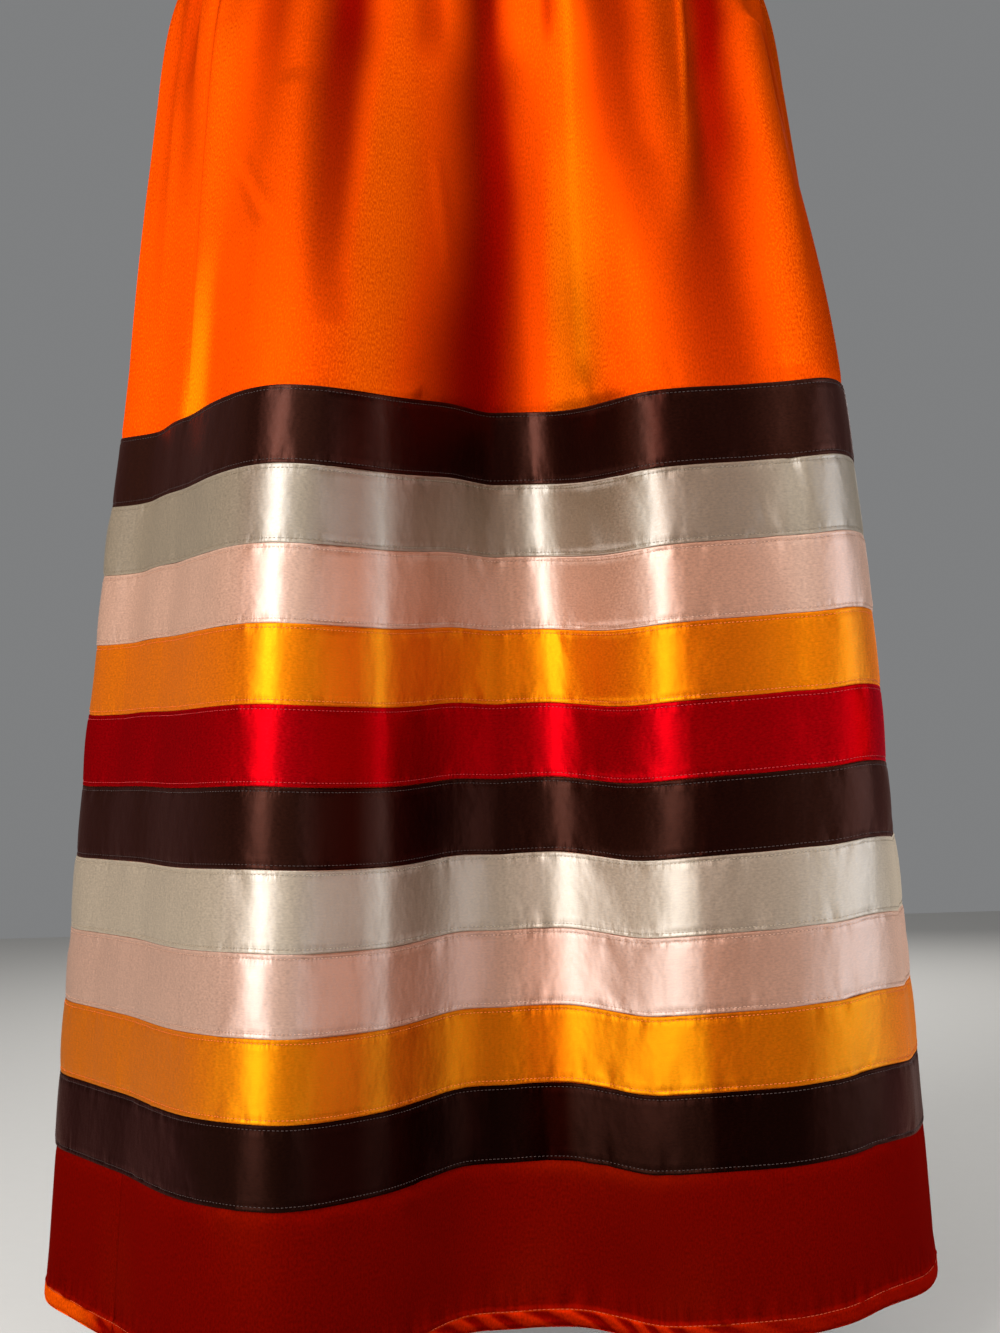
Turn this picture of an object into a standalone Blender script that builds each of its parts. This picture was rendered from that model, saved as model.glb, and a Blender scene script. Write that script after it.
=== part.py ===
"""Ribbon skirt, held open as it is when worn.

A gathered satin skirt with an elastic waistband, cut as a front and a back panel,
with ten satin ribbons sewn round it edge to edge and a narrow turned hem.

Sizes are in metres and angles in degrees. +Z is up, the front faces -Y, and the
origin is the centre of the waist opening. "Angle" goes round the skirt from the
front (0) to the +X side (90); "drop" is the length of cloth below the waist edge.
"""
from collections import namedtuple

import bpy
import numpy as np

# cloth
CLOTH_WALL = 0.0012
RIBBON_WALL = 0.0010
BAND_WALL = 0.0026
HEM_WALL = 0.0024
SEAM_GAP = 0.0003

# lengths of cloth below the waist edge
BAND_HEIGHT = 0.040
STRAIGHT_DROP = 0.050       # the waistband and the first cloth below it hang straight
RIBBON_TOP = 0.410
RIBBON_WIDTH = 0.050
HEM_DROP = 1.015
HEM_TURN = 0.012
HEM_STEP = 0.0015           # where the cloth thickens into its turned hem

# the two panels meet at the side seams, which sit turned a little round the waist
LEFT_SEAM = -49.5
RIGHT_SEAM = 130.5
SEAM_SLOT = 0.075           # each panel stops this far short of the seam, in degrees

# gathers under the waistband
GATHERS = 20
GATHER_AT_BAND = 0.0016
GATHER_FULL = 0.0050
GATHER_FULL_DROP = 0.075
GATHER_END_DROP = 0.170
GATHER_MEAN = 0.75          # their depth swings about this share of the full depth
GATHER_SWING = 0.25
GATHER_SWINGS = 5.0         # times round the skirt
GATHER_SWING_START = 1.0    # in radians
BAND_RIPPLE_SHARE = 0.5     # the waistband's own ripple, as a share of the gathers'

# fineness of the surfaces
COLUMNS = 4 * GATHERS
UPPER_ROWS = (0.062, 0.075, 0.095, 0.125, 0.170, 0.225, 0.285, 0.345)
FALL_STEP = 0.005
SAG_LENGTH = 0.250

Section = namedtuple("Section", "drop left right front back")
SECTIONS = (
    Section(0.050, 0.174, 0.174, 0.121, 0.126),
    Section(0.100, 0.208, 0.206, 0.128, 0.148),
    Section(0.220, 0.232, 0.226, 0.128, 0.164),
    Section(0.410, 0.260, 0.247, 0.125, 0.172),
    Section(0.620, 0.286, 0.275, 0.133, 0.182),
    Section(0.910, 0.310, 0.302, 0.145, 0.196),
    Section(1.015, 0.318, 0.306, 0.150, 0.202),
)

# long folds: how far each stands out (+) or in (-) from the section at five levels,
# and how far the cloth sags there
FOLD_DROPS = {"band": 0.050, "hip": 0.160, "first": 0.410, "last": 0.910, "hem": 1.015}
Fold = namedtuple("Fold", "name angle sag band hip first last hem")
FOLDS = (
    Fold("left side",     -95, 0.009, 0.000, 0.000, -0.002, 0.000, 0.000),
    Fold("left hollow",   -68, 0.005, 0.000, -0.008, -0.024, -0.005, -0.003),
    Fold("left slope",    -50, 0.004, 0.000, 0.004, -0.005, 0.013, 0.015),
    Fold("left crest",    -23, 0.003, 0.003, 0.022, 0.068, 0.085, 0.087),
    Fold("left shoulder", -13, -0.003, 0.000, 0.006, 0.030, 0.027, 0.027),
    Fold("left bay",       -5, -0.008, 0.000, -0.008, -0.024, -0.035, -0.036),
    Fold("trough, left",    3, -0.003, -0.002, -0.026, -0.060, -0.048, -0.047),
    Fold("trough, right",  10, -0.003, -0.003, -0.028, -0.062, -0.044, -0.042),
    Fold("right rise",     16, -0.002, 0.000, -0.010, -0.040, -0.029, -0.027),
    Fold("right ridge",    24, 0.000, 0.003, 0.012, 0.029, -0.004, -0.005),
    Fold("right shelf",    32, 0.001, 0.002, 0.012, 0.038, 0.010, 0.008),
    Fold("right bay",      41, 0.003, 0.000, 0.002, 0.045, 0.020, 0.016),
    Fold("right corner",   50, 0.008, 0.001, 0.018, 0.062, 0.018, 0.012),
    Fold("right side",     78, 0.009, 0.000, 0.004, 0.008, -0.003, -0.002),
    Fold("right back",    110, 0.006, 0.000, 0.004, 0.006, 0.004, 0.004),
    Fold("back ridge 1",  130, 0.006, 0.002, 0.014, 0.020, 0.024, 0.026),
    Fold("back trough 1", 150, 0.000, -0.002, -0.012, -0.024, -0.028, -0.030),
    Fold("back ridge 2",  169, 0.004, 0.002, 0.010, 0.022, 0.028, 0.030),
    Fold("back trough 2", 190, 0.000, -0.002, -0.010, -0.018, -0.024, -0.026),
    Fold("back ridge 3",  211, 0.004, 0.002, 0.012, 0.026, 0.030, 0.032),
    Fold("back trough 3", 232, 0.002, -0.001, -0.008, -0.012, -0.018, -0.020),
    Fold("left back",     248, 0.006, 0.001, 0.006, 0.008, 0.010, 0.010),
)

# short folds that run down from the gathers and fade out above the ribbons
Tuck = namedtuple("Tuck", "angle width depth fade")
TUCKS = (
    Tuck(-80, 6.0, -0.006, 0.34),
    Tuck(-40, 6.0, 0.004, 0.30),
    Tuck(-25, 6.0, -0.011, 0.32),
    Tuck(-10, 6.5, 0.006, 0.36),
    Tuck(22, 5.5, 0.007, 0.40),
    Tuck(37, 6.5, -0.007, 0.36),
    Tuck(48, 5.5, 0.004, 0.36),
    Tuck(57, 6.0, -0.009, 0.34),
    Tuck(100, 7.0, -0.008, 0.33),
    Tuck(139, 6.0, -0.008, 0.30),
    Tuck(158, 6.0, 0.006, 0.34),
    Tuck(178, 6.0, -0.009, 0.31),
    Tuck(201, 6.0, 0.006, 0.36),
    Tuck(221, 6.0, -0.009, 0.33),
    Tuck(241, 6.0, 0.005, 0.30),
)

Finish = namedtuple("Finish", "name red green blue roughness")
BROWN = Finish("brown", 0.030, 0.012, 0.010, 0.34)
SILVER = Finish("silver", 0.480, 0.430, 0.340, 0.30)
IVORY = Finish("ivory", 0.620, 0.570, 0.490, 0.30)
PINK = Finish("pink", 0.780, 0.480, 0.400, 0.32)
GOLD = Finish("gold", 0.780, 0.330, 0.003, 0.32)
RED = Finish("red", 0.400, 0.001, 0.006, 0.34)
RIBBONS = (BROWN, SILVER, PINK, GOLD, RED, BROWN, IVORY, PINK, GOLD, BROWN)
SATIN = Finish("orange", 0.850, 0.110, 0.003, 0.38)


def curve(at, stations, values, around=0.0):
    """Smooth curve through the values, level at each crest and trough.

    With around, the curve is closed and repeats after that many units.
    """
    at = np.asarray(at, dtype=float)
    stations = np.asarray(stations, dtype=float)
    values = np.asarray(values, dtype=float)
    if around:
        start = stations[0]
        stations = np.concatenate([stations - around, stations, stations + around])
        values = np.tile(values, 3)
        at = (at - start) % around + start
    span = np.diff(stations)
    rise = np.diff(values) / span
    before, after = rise[:-1], rise[1:]
    climbing = before * after > 0.0
    weight_before = 2.0 * span[1:] + span[:-1]
    weight_after = span[1:] + 2.0 * span[:-1]
    safe_before = np.where(climbing, before, 1.0)
    safe_after = np.where(climbing, after, 1.0)
    mean = (weight_before + weight_after) / (weight_before / safe_before + weight_after / safe_after)
    slope = np.concatenate([rise[:1], np.where(climbing, mean, 0.0), rise[-1:]])
    piece = np.clip(np.searchsorted(stations, at, side="right") - 1, 0, len(span) - 1)
    along = np.clip((at - stations[piece]) / span[piece], 0.0, 1.0)
    ease = along * along * (3.0 - 2.0 * along)
    leave = along * (1.0 - along) ** 2 * span[piece] * slope[piece]
    arrive = along * along * (along - 1.0) * span[piece] * slope[piece + 1]
    return values[piece] * (1.0 - ease) + values[piece + 1] * ease + leave + arrive


def table_column(table, name):
    return [getattr(row, name) for row in table]


def fade(at, start, end):
    """1 up to start, 0 from end on, smooth between them."""
    share = np.clip((np.asarray(at, dtype=float) - start) / (end - start), 0.0, 1.0)
    return 1.0 - share * share * (3.0 - 2.0 * share)


def fold_offset(angles, drop):
    """How far the long folds push the cloth out of its section."""
    levels = list(FOLD_DROPS.values())
    offsets = [curve(drop, levels, [getattr(fold, name) for name in FOLD_DROPS]) for fold in FOLDS]
    return curve(angles, table_column(FOLDS, "angle"), offsets, around=360.0)


def tuck_offset(angles, drop):
    """How far the short folds push it."""
    offset = np.zeros_like(angles)
    grown = 1.0 - fade(drop, STRAIGHT_DROP, GATHER_FULL_DROP)
    for tuck in TUCKS:
        away = (angles - tuck.angle + 180.0) % 360.0 - 180.0
        strength = tuck.depth * grown * fade(drop, GATHER_FULL_DROP, tuck.fade)
        offset += strength * np.exp(-(away / tuck.width) ** 2)
    return offset


def gather_offset(angles, drop):
    """The gathers under the waistband, deeper and shallower as they go round."""
    drops = (STRAIGHT_DROP, GATHER_FULL_DROP, GATHER_END_DROP)
    depth = curve(drop, drops, (GATHER_AT_BAND, GATHER_FULL, 0.0))
    turn = np.radians(angles)
    unevenness = GATHER_MEAN + GATHER_SWING * np.sin(GATHER_SWINGS * turn + GATHER_SWING_START)
    return depth * unevenness * np.cos(GATHERS * turn)


def plan_points(angles, drop, gathered=True):
    """The skirt's outline seen from above, at one length of cloth below the waist."""
    level = max(drop, STRAIGHT_DROP)
    drops = table_column(SECTIONS, "drop")
    left, right, front, back = (
        curve(level, drops, table_column(SECTIONS, side)) for side in ("left", "right", "front", "back")
    )
    sine = np.sin(np.radians(angles))
    cosine = np.cos(np.radians(angles))
    half_width = np.where(sine > 0.0, right, left)
    half_depth = np.where(cosine > 0.0, front, back)
    outward = np.stack([sine / half_width, -cosine / half_depth], axis=-1)
    outward /= np.linalg.norm(outward, axis=-1, keepdims=True)
    offset = fold_offset(angles, level)
    if gathered:
        offset = offset + tuck_offset(angles, level) + gather_offset(angles, level)
    base = np.stack([half_width * sine, -half_depth * cosine], axis=-1)
    return base + outward * offset[:, None]


def cloth_heights(angles, drops):
    """Heights of the cloth: what it runs sideways is taken off what it falls.

    The gathers and short folds are left out, because their fullness evens out in the cloth below.
    """
    steps = np.arange(0.0, HEM_DROP + FALL_STEP, FALL_STEP)
    plans = np.array([plan_points(angles, step, gathered=False) for step in steps])
    run = np.linalg.norm(np.diff(plans, axis=0), axis=-1)
    fall = np.sqrt(np.maximum(FALL_STEP ** 2 - run ** 2, 0.0))
    below = np.vstack([np.zeros(len(angles)), np.cumsum(fall, axis=0)])
    sag = curve(angles, table_column(FOLDS, "angle"), table_column(FOLDS, "sag"), around=360.0)
    heights = []
    for drop in drops:
        fallen = np.array([np.interp(drop, steps, below[:, column]) for column in range(len(angles))])
        sagged = sag * (1.0 - fade(drop, STRAIGHT_DROP, STRAIGHT_DROP + SAG_LENGTH))
        heights.append(-fallen - sagged)
    return np.array(heights)


def cloth_grid(angles, drops):
    """The inner face of the cloth, one row of points for each drop."""
    plans = np.array([plan_points(angles, drop) for drop in drops])
    heights = cloth_heights(angles, drops)
    return np.concatenate([plans, heights[:, :, None]], axis=-1)


def moved_out(grid, distance):
    """A closed ring of cloth points, moved outwards along the cloth's own normals."""
    across = np.roll(grid, -1, axis=1) - np.roll(grid, 1, axis=1)
    down = np.gradient(grid, axis=0)
    normals = np.cross(down, across)
    normals /= np.linalg.norm(normals, axis=-1, keepdims=True)
    return grid + normals * distance


def sheet_faces(rows, columns, closed):
    """Triangles between the rows, all with the same diagonal, facing outwards."""
    faces = []
    for row in range(rows - 1):
        for column in range(columns if closed else columns - 1):
            following = (column + 1) % columns
            upper_left = row * columns + column
            upper_right = row * columns + following
            lower_left = upper_left + columns
            lower_right = upper_right + columns
            faces.append((upper_left, lower_left, lower_right))
            faces.append((upper_left, lower_right, upper_right))
    return faces


def satin_material(name, finish):
    material = bpy.data.materials.new(name)
    material.use_nodes = True
    shader = material.node_tree.nodes["Principled BSDF"]
    shader.inputs["Base Color"].default_value = (finish.red, finish.green, finish.blue, 1.0)
    shader.inputs["Roughness"].default_value = finish.roughness
    shader.inputs["Metallic"].default_value = 0.0
    return material


def cloth_object(name, grid, closed, wall, finish, collection):
    """An open sheet through the rows of points, given its wall by Solidify."""
    rows, columns = grid.shape[:2]
    mesh = bpy.data.meshes.new(name)
    mesh.from_pydata(grid.reshape(-1, 3).tolist(), [], sheet_faces(rows, columns, closed))
    mesh.shade_smooth()
    mesh.materials.append(satin_material(name, finish))
    cloth = bpy.data.objects.new(name, mesh)
    collection.objects.link(cloth)
    solidify = cloth.modifiers.new("wall", "SOLIDIFY")
    solidify.thickness = wall
    solidify.offset = 1.0
    return cloth


def ring_angles():
    """The columns all round, from the left seam."""
    return LEFT_SEAM + np.arange(COLUMNS) * 360.0 / COLUMNS


def panel_drops():
    """The rows of a panel: its gathers, the ribbons' edges and the hem."""
    top = [BAND_HEIGHT + SEAM_GAP, STRAIGHT_DROP, *UPPER_ROWS]
    ribbons = [RIBBON_TOP + RIBBON_WIDTH * index for index in range(len(RIBBONS) + 1)]
    turn = HEM_DROP - HEM_TURN
    return top + ribbons + [(ribbons[-1] + turn) / 2.0, turn - HEM_STEP, turn, HEM_DROP]


def build_panel(name, first_seam, second_seam, collection):
    """Half of the skirt between two seams, thicker where its hem is turned up."""
    count = int(round((second_seam - first_seam) / (360.0 / COLUMNS))) + 1
    angles = np.linspace(first_seam, second_seam, count)
    angles[0] += SEAM_SLOT
    angles[-1] -= SEAM_SLOT
    drops = panel_drops()
    panel = cloth_object(name, cloth_grid(angles, drops), False, HEM_WALL, SATIN, collection)
    thickness = panel.vertex_groups.new(name="thickness")
    hem_start = HEM_DROP - HEM_TURN - HEM_STEP / 2.0
    for row, drop in enumerate(drops):
        vertices = list(range(row * count, (row + 1) * count))
        share = 1.0 if drop > hem_start else CLOTH_WALL / HEM_WALL
        thickness.add(vertices, share, "REPLACE")
    panel.modifiers["wall"].vertex_group = thickness.name
    return panel


def build_ribbon(index, finish, collection):
    """One ribbon: the panels' own points between its two edges, moved out."""
    top = RIBBON_TOP + RIBBON_WIDTH * index
    rows = [top + SEAM_GAP / 2.0, top + RIBBON_WIDTH - SEAM_GAP / 2.0]
    ring = moved_out(cloth_grid(ring_angles(), rows), CLOTH_WALL + SEAM_GAP)
    name = "ribbon_%02d_%s" % (index + 1, finish.name)
    return cloth_object(name, ring, True, RIBBON_WALL, finish, collection)


def build_waistband(collection):
    """The elastic casing: a thicker ring of the same cloth, rippled by the elastic."""
    angles = ring_angles()
    rows = [0.0, BAND_HEIGHT / 2.0, BAND_HEIGHT]
    ring = cloth_grid(angles, rows)
    ripple = gather_offset(angles, STRAIGHT_DROP) * (BAND_RIPPLE_SHARE - 1.0)
    inset = (BAND_WALL - CLOTH_WALL) / 2.0
    ring = moved_out(ring, (ripple - inset)[None, :, None])
    return cloth_object("waistband", ring, True, BAND_WALL, SATIN, collection)


def clear_scene():
    for item in list(bpy.data.objects):
        bpy.data.objects.remove(item, do_unlink=True)


def main():
    clear_scene()
    collection = bpy.data.collections.new("ribbon_skirt")
    bpy.context.scene.collection.children.link(collection)
    build_waistband(collection)
    build_panel("front_panel", LEFT_SEAM, RIGHT_SEAM, collection)
    build_panel("back_panel", RIGHT_SEAM, LEFT_SEAM + 360.0, collection)
    for index, finish in enumerate(RIBBONS):
        build_ribbon(index, finish, collection)


main()
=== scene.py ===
import math
import random

import bpy
import numpy as np
from mathutils import Matrix, Vector


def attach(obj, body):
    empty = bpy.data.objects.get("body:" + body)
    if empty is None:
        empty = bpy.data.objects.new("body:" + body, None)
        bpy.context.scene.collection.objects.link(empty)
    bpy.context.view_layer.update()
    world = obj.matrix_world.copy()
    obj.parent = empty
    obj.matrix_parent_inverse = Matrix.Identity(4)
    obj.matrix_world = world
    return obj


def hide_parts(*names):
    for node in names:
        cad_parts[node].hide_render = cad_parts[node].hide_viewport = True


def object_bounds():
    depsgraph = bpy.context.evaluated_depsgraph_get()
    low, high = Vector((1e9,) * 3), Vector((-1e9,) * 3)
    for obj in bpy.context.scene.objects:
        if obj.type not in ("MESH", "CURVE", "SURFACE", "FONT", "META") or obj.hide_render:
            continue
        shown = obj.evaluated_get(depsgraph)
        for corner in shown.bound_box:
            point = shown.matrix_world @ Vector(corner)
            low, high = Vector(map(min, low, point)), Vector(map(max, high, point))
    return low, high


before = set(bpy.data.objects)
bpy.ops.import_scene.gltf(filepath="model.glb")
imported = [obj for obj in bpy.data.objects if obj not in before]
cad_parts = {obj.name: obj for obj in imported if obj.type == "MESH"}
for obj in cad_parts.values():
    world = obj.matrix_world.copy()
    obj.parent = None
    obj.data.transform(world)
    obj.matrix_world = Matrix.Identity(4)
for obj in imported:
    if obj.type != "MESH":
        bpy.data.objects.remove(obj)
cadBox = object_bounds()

# metres and degrees; "angle" goes round from the front (0) to the +X side (90),
# "drop" is the length of cloth below the waist edge

skirt = {
    "leftSeam": -49.5,
    "columns": 720,             # round the whole skirt
    "straightDrop": 0.050,      # the waistband and the first cloth below it hang straight
    "hemDrop": 1.015,
    "fallStep": 0.005,
    "sagLength": 0.250,
    # turns and shares that round the long folds, as satin bends softly
    "softening": ((-3.0, 0.12), (-1.5, 0.23), (0.0, 0.30), (1.5, 0.23), (3.0, 0.12)),
}

sectionColumns = ("drop", "left", "right", "front", "back")
sections = (
    (0.05, 0.174, 0.174, 0.121, 0.126),
    (0.1, 0.208, 0.206, 0.128, 0.148),
    (0.22, 0.232, 0.226, 0.128, 0.164),
    (0.41, 0.26, 0.247, 0.125, 0.172),
    (0.62, 0.286, 0.275, 0.133, 0.182),
    (0.91, 0.31, 0.302, 0.145, 0.196),
    (1.015, 0.318, 0.306, 0.15, 0.202),
)

# long folds: out (+) or in (-) from the section at five drops, and how far the cloth sags
foldDrops = {"band": 0.050, "hip": 0.160, "first": 0.410, "last": 0.910, "hem": 1.015}
foldColumns = ("name", "angle", "sag", "band", "hip", "first", "last", "hem")
folds = (
    ("left side", -95, 0.009, 0, 0, -0.002, 0, 0),
    ("left hollow", -68, 0.005, 0, -0.008, -0.024, -0.005, -0.003),
    ("left slope", -50, 0.004, 0, 0.004, -0.005, 0.013, 0.015),
    ("left crest", -23, 0.003, 0.003, 0.022, 0.068, 0.085, 0.087),
    ("left shoulder", -13, -0.003, 0, 0.006, 0.03, 0.027, 0.027),
    ("left bay", -5, -0.008, 0, -0.008, -0.024, -0.035, -0.036),
    ("trough, left", 3, -0.003, -0.002, -0.026, -0.06, -0.048, -0.047),
    ("trough, right", 10, -0.003, -0.003, -0.028, -0.062, -0.044, -0.042),
    ("right rise", 16, -0.002, 0, -0.01, -0.04, -0.029, -0.027),
    ("right ridge", 24, 0, 0.003, 0.012, 0.029, -0.004, -0.005),
    ("right shelf", 32, 0.001, 0.002, 0.012, 0.038, 0.01, 0.008),
    ("right bay", 41, 0.003, 0, 0.002, 0.045, 0.02, 0.016),
    ("right corner", 50, 0.008, 0.001, 0.018, 0.062, 0.018, 0.012),
    ("right side", 78, 0.009, 0, 0.004, 0.008, -0.003, -0.002),
    ("right back", 110, 0.006, 0, 0.004, 0.006, 0.004, 0.004),
    ("back ridge 1", 130, 0.006, 0.002, 0.014, 0.02, 0.024, 0.026),
    ("back trough 1", 150, 0, -0.002, -0.012, -0.024, -0.028, -0.03),
    ("back ridge 2", 169, 0.004, 0.002, 0.01, 0.022, 0.028, 0.03),
    ("back trough 2", 190, 0, -0.002, -0.01, -0.018, -0.024, -0.026),
    ("back ridge 3", 211, 0.004, 0.002, 0.012, 0.026, 0.03, 0.032),
    ("back trough 3", 232, 0.002, -0.001, -0.008, -0.012, -0.018, -0.02),
    ("left back", 248, 0.006, 0.001, 0.006, 0.008, 0.01, 0.01),
)

# folds that run down from the gathers or fade out above the hem, each by a few stations: where
# it lies, how wide, how far in (-) or out (+), and its painted shade (1 the darkest, below 0 a painted
# highlight)
pleatColumns = ("drop", "angle", "width", "depth", "shade")
# some rows are painted shade or painted highlight alone, with no depth
pleats = (
    ((0.05, -67, 8, -0.004, 0.45), (0.147, -66, 8, -0.005, 0.45), (0.2, -62, 7, -0.003, 0.2),
     (0.26, -58, 6, 0, 0)),
    ((0.147, -45, 4, 0, -0.1), (0.2, -44, 4, 0.001, -0.12), (0.28, -43, 4.5, 0.002, -0.12),
     (0.33, -44.5, 4.5, 0.002, -0.5), (0.37, -45, 5, 0.001, -0.8), (0.43, -46, 6, 0, -1)),
    ((0.05, -33.5, 4.2, -0.003, 0.58), (0.147, -33, 4.2, -0.004, 0.58), (0.185, -32.5, 4.2, -0.004, 0.4),
     (0.22, -32.5, 4, -0.003, 0.18), (0.3, -32.5, 3.5, 0, 0)),
    ((0.2, -26, 3, 0.002, 0), (0.28, -26, 3, 0.002, 0), (0.345, -25.5, 3.5, 0.001, 0), (0.4, -25.5, 4, 0, 0)),
    ((0.05, -19.5, 5.2, -0.006, 0.95), (0.147, -19.3, 5, -0.01, 1), (0.2, -19.8, 4.2, -0.008, 0.9),
     (0.26, -19.5, 3.2, -0.006, 0.75), (0.317, -19.5, 2.3, -0.002, 0.5), (0.37, -18.5, 1.8, 0, 0.12)),
    ((0.05, -12, 4, 0.001, 0), (0.147, -12, 4, 0.002, -0.05), (0.26, -12, 4.5, 0.002, -0.18),
     (0.37, -12.5, 4.5, 0.001, -0.2), (0.43, -13, 4.5, 0, -0.2)),
    ((0.05, -5.5, 2.5, -0.002, 0.5), (0.147, -5.5, 2.5, -0.002, 0.5), (0.185, -6, 2.5, 0, 0)),
    ((0.05, 4.2, 3.8, -0.004, 0.95), (0.147, 4.2, 4, -0.008, 0.95), (0.2, 4.4, 6.2, -0.008, 0.98),
     (0.26, 4.7, 7, -0.004, 1), (0.317, 3.4, 7.8, -0.001, 1), (0.37, 1.4, 9.2, 0, 1), (0.43, 0.4, 10, 0, 1)),
    ((0.05, 15.5, 1.2, -0.004, 0.6), (0.145, 15.4, 1, -0.003, 0.6), (0.168, 15, 0.7, 0, 0)),
    ((0.05, 18, 1.6, 0.001, -0.1), (0.147, 18, 1.6, 0.001, -0.15), (0.2, 17.5, 3, 0.001, -0.1),
     (0.26, 17.2, 3.2, 0.001, -0.4), (0.317, 17.3, 3.6, 0.001, -0.55), (0.37, 17, 3.6, 0, -0.5),
     (0.43, 15.5, 3.6, 0, -0.3)),
    ((0.05, 18.4, 0.8, 0.0004, -0.1), (0.147, 18.3, 0.7, 0.0006, -0.15), (0.26, 17.8, 0.7, 0.0006, -0.2),
     (0.37, 18.2, 0.8, 0.0004, -0.25), (0.4, 18.2, 0.8, 0, 0)),
    ((0.05, 26, 5.5, -0.005, 0.66), (0.147, 26.5, 5.2, -0.006, 0.66), (0.2, 25.5, 4.6, -0.006, 0.6),
     (0.23, 25.5, 4.6, -0.005, 0.5), (0.26, 27, 5, -0.003, 0.38), (0.3, 28, 4, -0.001, 0.22),
     (0.34, 29, 3, 0, 0)),
    ((0.05, 45, 0.9, 0.001, -0.1), (0.14, 42.2, 0.9, 0.002, -0.3), (0.175, 40.8, 0.9, 0.002, -0.25),
     (0.22, 38, 1, 0.001, -0.15), (0.27, 34.8, 1.1, 0, 0)),
    ((0.05, 50.5, 5.4, -0.008, 0.95), (0.147, 48.4, 5.4, -0.009, 1), (0.173, 46.8, 4.4, -0.009, 1),
     (0.2, 45.5, 4.3, -0.008, 0.95), (0.23, 44.2, 4.5, -0.007, 0.93), (0.26, 42, 5.2, -0.005, 0.85),
     (0.288, 39.8, 6, -0.004, 0.77), (0.317, 37.6, 7, -0.002, 0.72), (0.343, 36.3, 7, -0.001, 0.7),
     (0.37, 36.2, 7, 0, 0.66), (0.43, 37, 6.4, 0, 0.6)),
    ((0.147, 61, 5, 0.004, 0), (0.2, 56, 5, 0.005, -0.1), (0.26, 52, 4.5, 0.004, -0.1),
     (0.317, 49.5, 4, 0.003, -0.1), (0.37, 48, 3.5, 0.001, -0.1), (0.4, 46.5, 3.5, 0, -0.15)),
    ((0.15, 70, 3.5, -0.002, 0.3), (0.23, 72, 3.5, -0.006, 0.6), (0.3, 74, 3.2, -0.006, 0.6),
     (0.38, 77, 3, -0.004, 0.45), (0.43, 78, 3, -0.001, 0.2)),
    ((0.05, -78, 6, -0.005, 0.4), (0.15, -80, 6, -0.007, 0.3), (0.26, -79, 5, -0.003, 0.1),
     (0.35, -78, 4, 0, 0)),
    ((0.05, 92, 4, 0.002, -0.1), (0.14, 91, 4, 0.005, -0.25), (0.24, 88, 4, 0.003, -0.2),
     (0.36, 86, 4, 0, 0)),
    ((0.05, 102, 5.5, -0.006, 0.75), (0.14, 101, 5, -0.01, 0.9), (0.24, 99, 4, -0.006, 0.65),
     (0.34, 97, 3, -0.002, 0.35), (0.43, 96, 3, 0, 0.2)),
    ((0.05, 122, 4, 0.003, -0.1), (0.14, 121, 4, 0.005, -0.2), (0.24, 119, 3.5, 0.004, -0.35),
     (0.34, 118, 3.5, 0.002, -0.35), (0.43, 117, 3, 0, -0.2)),
    ((0.05, 142, 4.6, -0.006, 0.8), (0.14, 143, 4.6, -0.01, 0.9), (0.22, 146, 5.2, -0.008, 0.9),
     (0.32, 149, 6.6, -0.003, 0.85), (0.43, 150, 7.6, 0, 0.8)),
    ((0.05, 161, 3.5, 0.003, -0.1), (0.15, 162, 3.5, 0.006, -0.25), (0.26, 164, 3.5, 0.004, -0.45),
     (0.36, 165, 3.5, 0.001, -0.45), (0.43, 165, 3.5, 0, -0.3)),
    ((0.05, 182, 5, -0.007, 0.75), (0.145, 184, 4.8, -0.011, 0.9), (0.23, 187, 5, -0.008, 0.85),
     (0.32, 189, 6, -0.003, 0.75), (0.43, 190, 6.6, 0, 0.6)),
    ((0.05, 202, 4, 0.003, -0.1), (0.15, 202, 4, 0.006, -0.2), (0.27, 204, 4, 0.004, -0.3),
     (0.37, 206, 4, 0.001, -0.35), (0.43, 206, 4, 0, -0.2)),
    ((0.05, 224, 5, -0.006, 0.75), (0.145, 225, 4.6, -0.01, 0.9), (0.24, 228, 4.6, -0.006, 0.75),
     (0.335, 231, 5, -0.002, 0.6), (0.43, 232, 5.4, 0, 0.5)),
    ((0.05, 243, 4, 0.003, -0.1), (0.145, 244, 4, 0.005, -0.25), (0.23, 246, 4, 0.003, -0.25),
     (0.31, 247, 3.5, 0.001, -0.25), (0.38, 248, 3.5, 0, 0)),
    ((0.2, -36, 8, 0, 0), (0.28, -35, 9, 0, 0.08), (0.345, -34, 10, 0, 0.12), (0.43, -34, 10, 0, 0.1)),
    ((0.74, 14, 6.5, 0, 0), (0.8, 14.5, 6.5, 0.0016, 0), (0.9, 16, 6.5, 0.0028, 0), (0.98, 16, 6.5, 0, 0)),
    ((0.905, -26, 4, 0, 0), (0.912, -26, 4, 0, -0.04), (0.935, -25, 3.4, 0, -0.02), (0.99, -24, 3, 0, 0)),
    ((0.905, 14, 11, 0, 0), (0.912, 14, 11, 0, -0.07), (0.925, 14, 9, 0, -0.02), (0.99, 20, 7, 0, 0)),
    ((0.93, 7, 3, 0, 0), (0.965, 5, 4, 0, -0.02), (0.99, 3, 5, 0, -0.03), (1.004, 2, 5, 0, 0)),
    ((0.94, 26, 3, 0, 0), (0.975, 24, 4, 0, -0.02), (0.99, 23, 4, 0, -0.03), (1.004, 22, 4, 0, 0)),
    ((0.92, -52, 5, 0, 0), (0.95, -50, 5, 0, -0.02), (0.985, -49, 6, 0, -0.03), (1.004, -48, 6, 0, 0)),
)

gathers = {
    "count": 20,
    "atBand": 0.0016,
    "full": 0.0050,
    "fullDrop": 0.075,
    "endDrop": 0.170,
    "mean": 0.75,
    "swing": 0.25,
    "swings": 5.0,
    "swingStart": 1.0,
}


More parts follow.
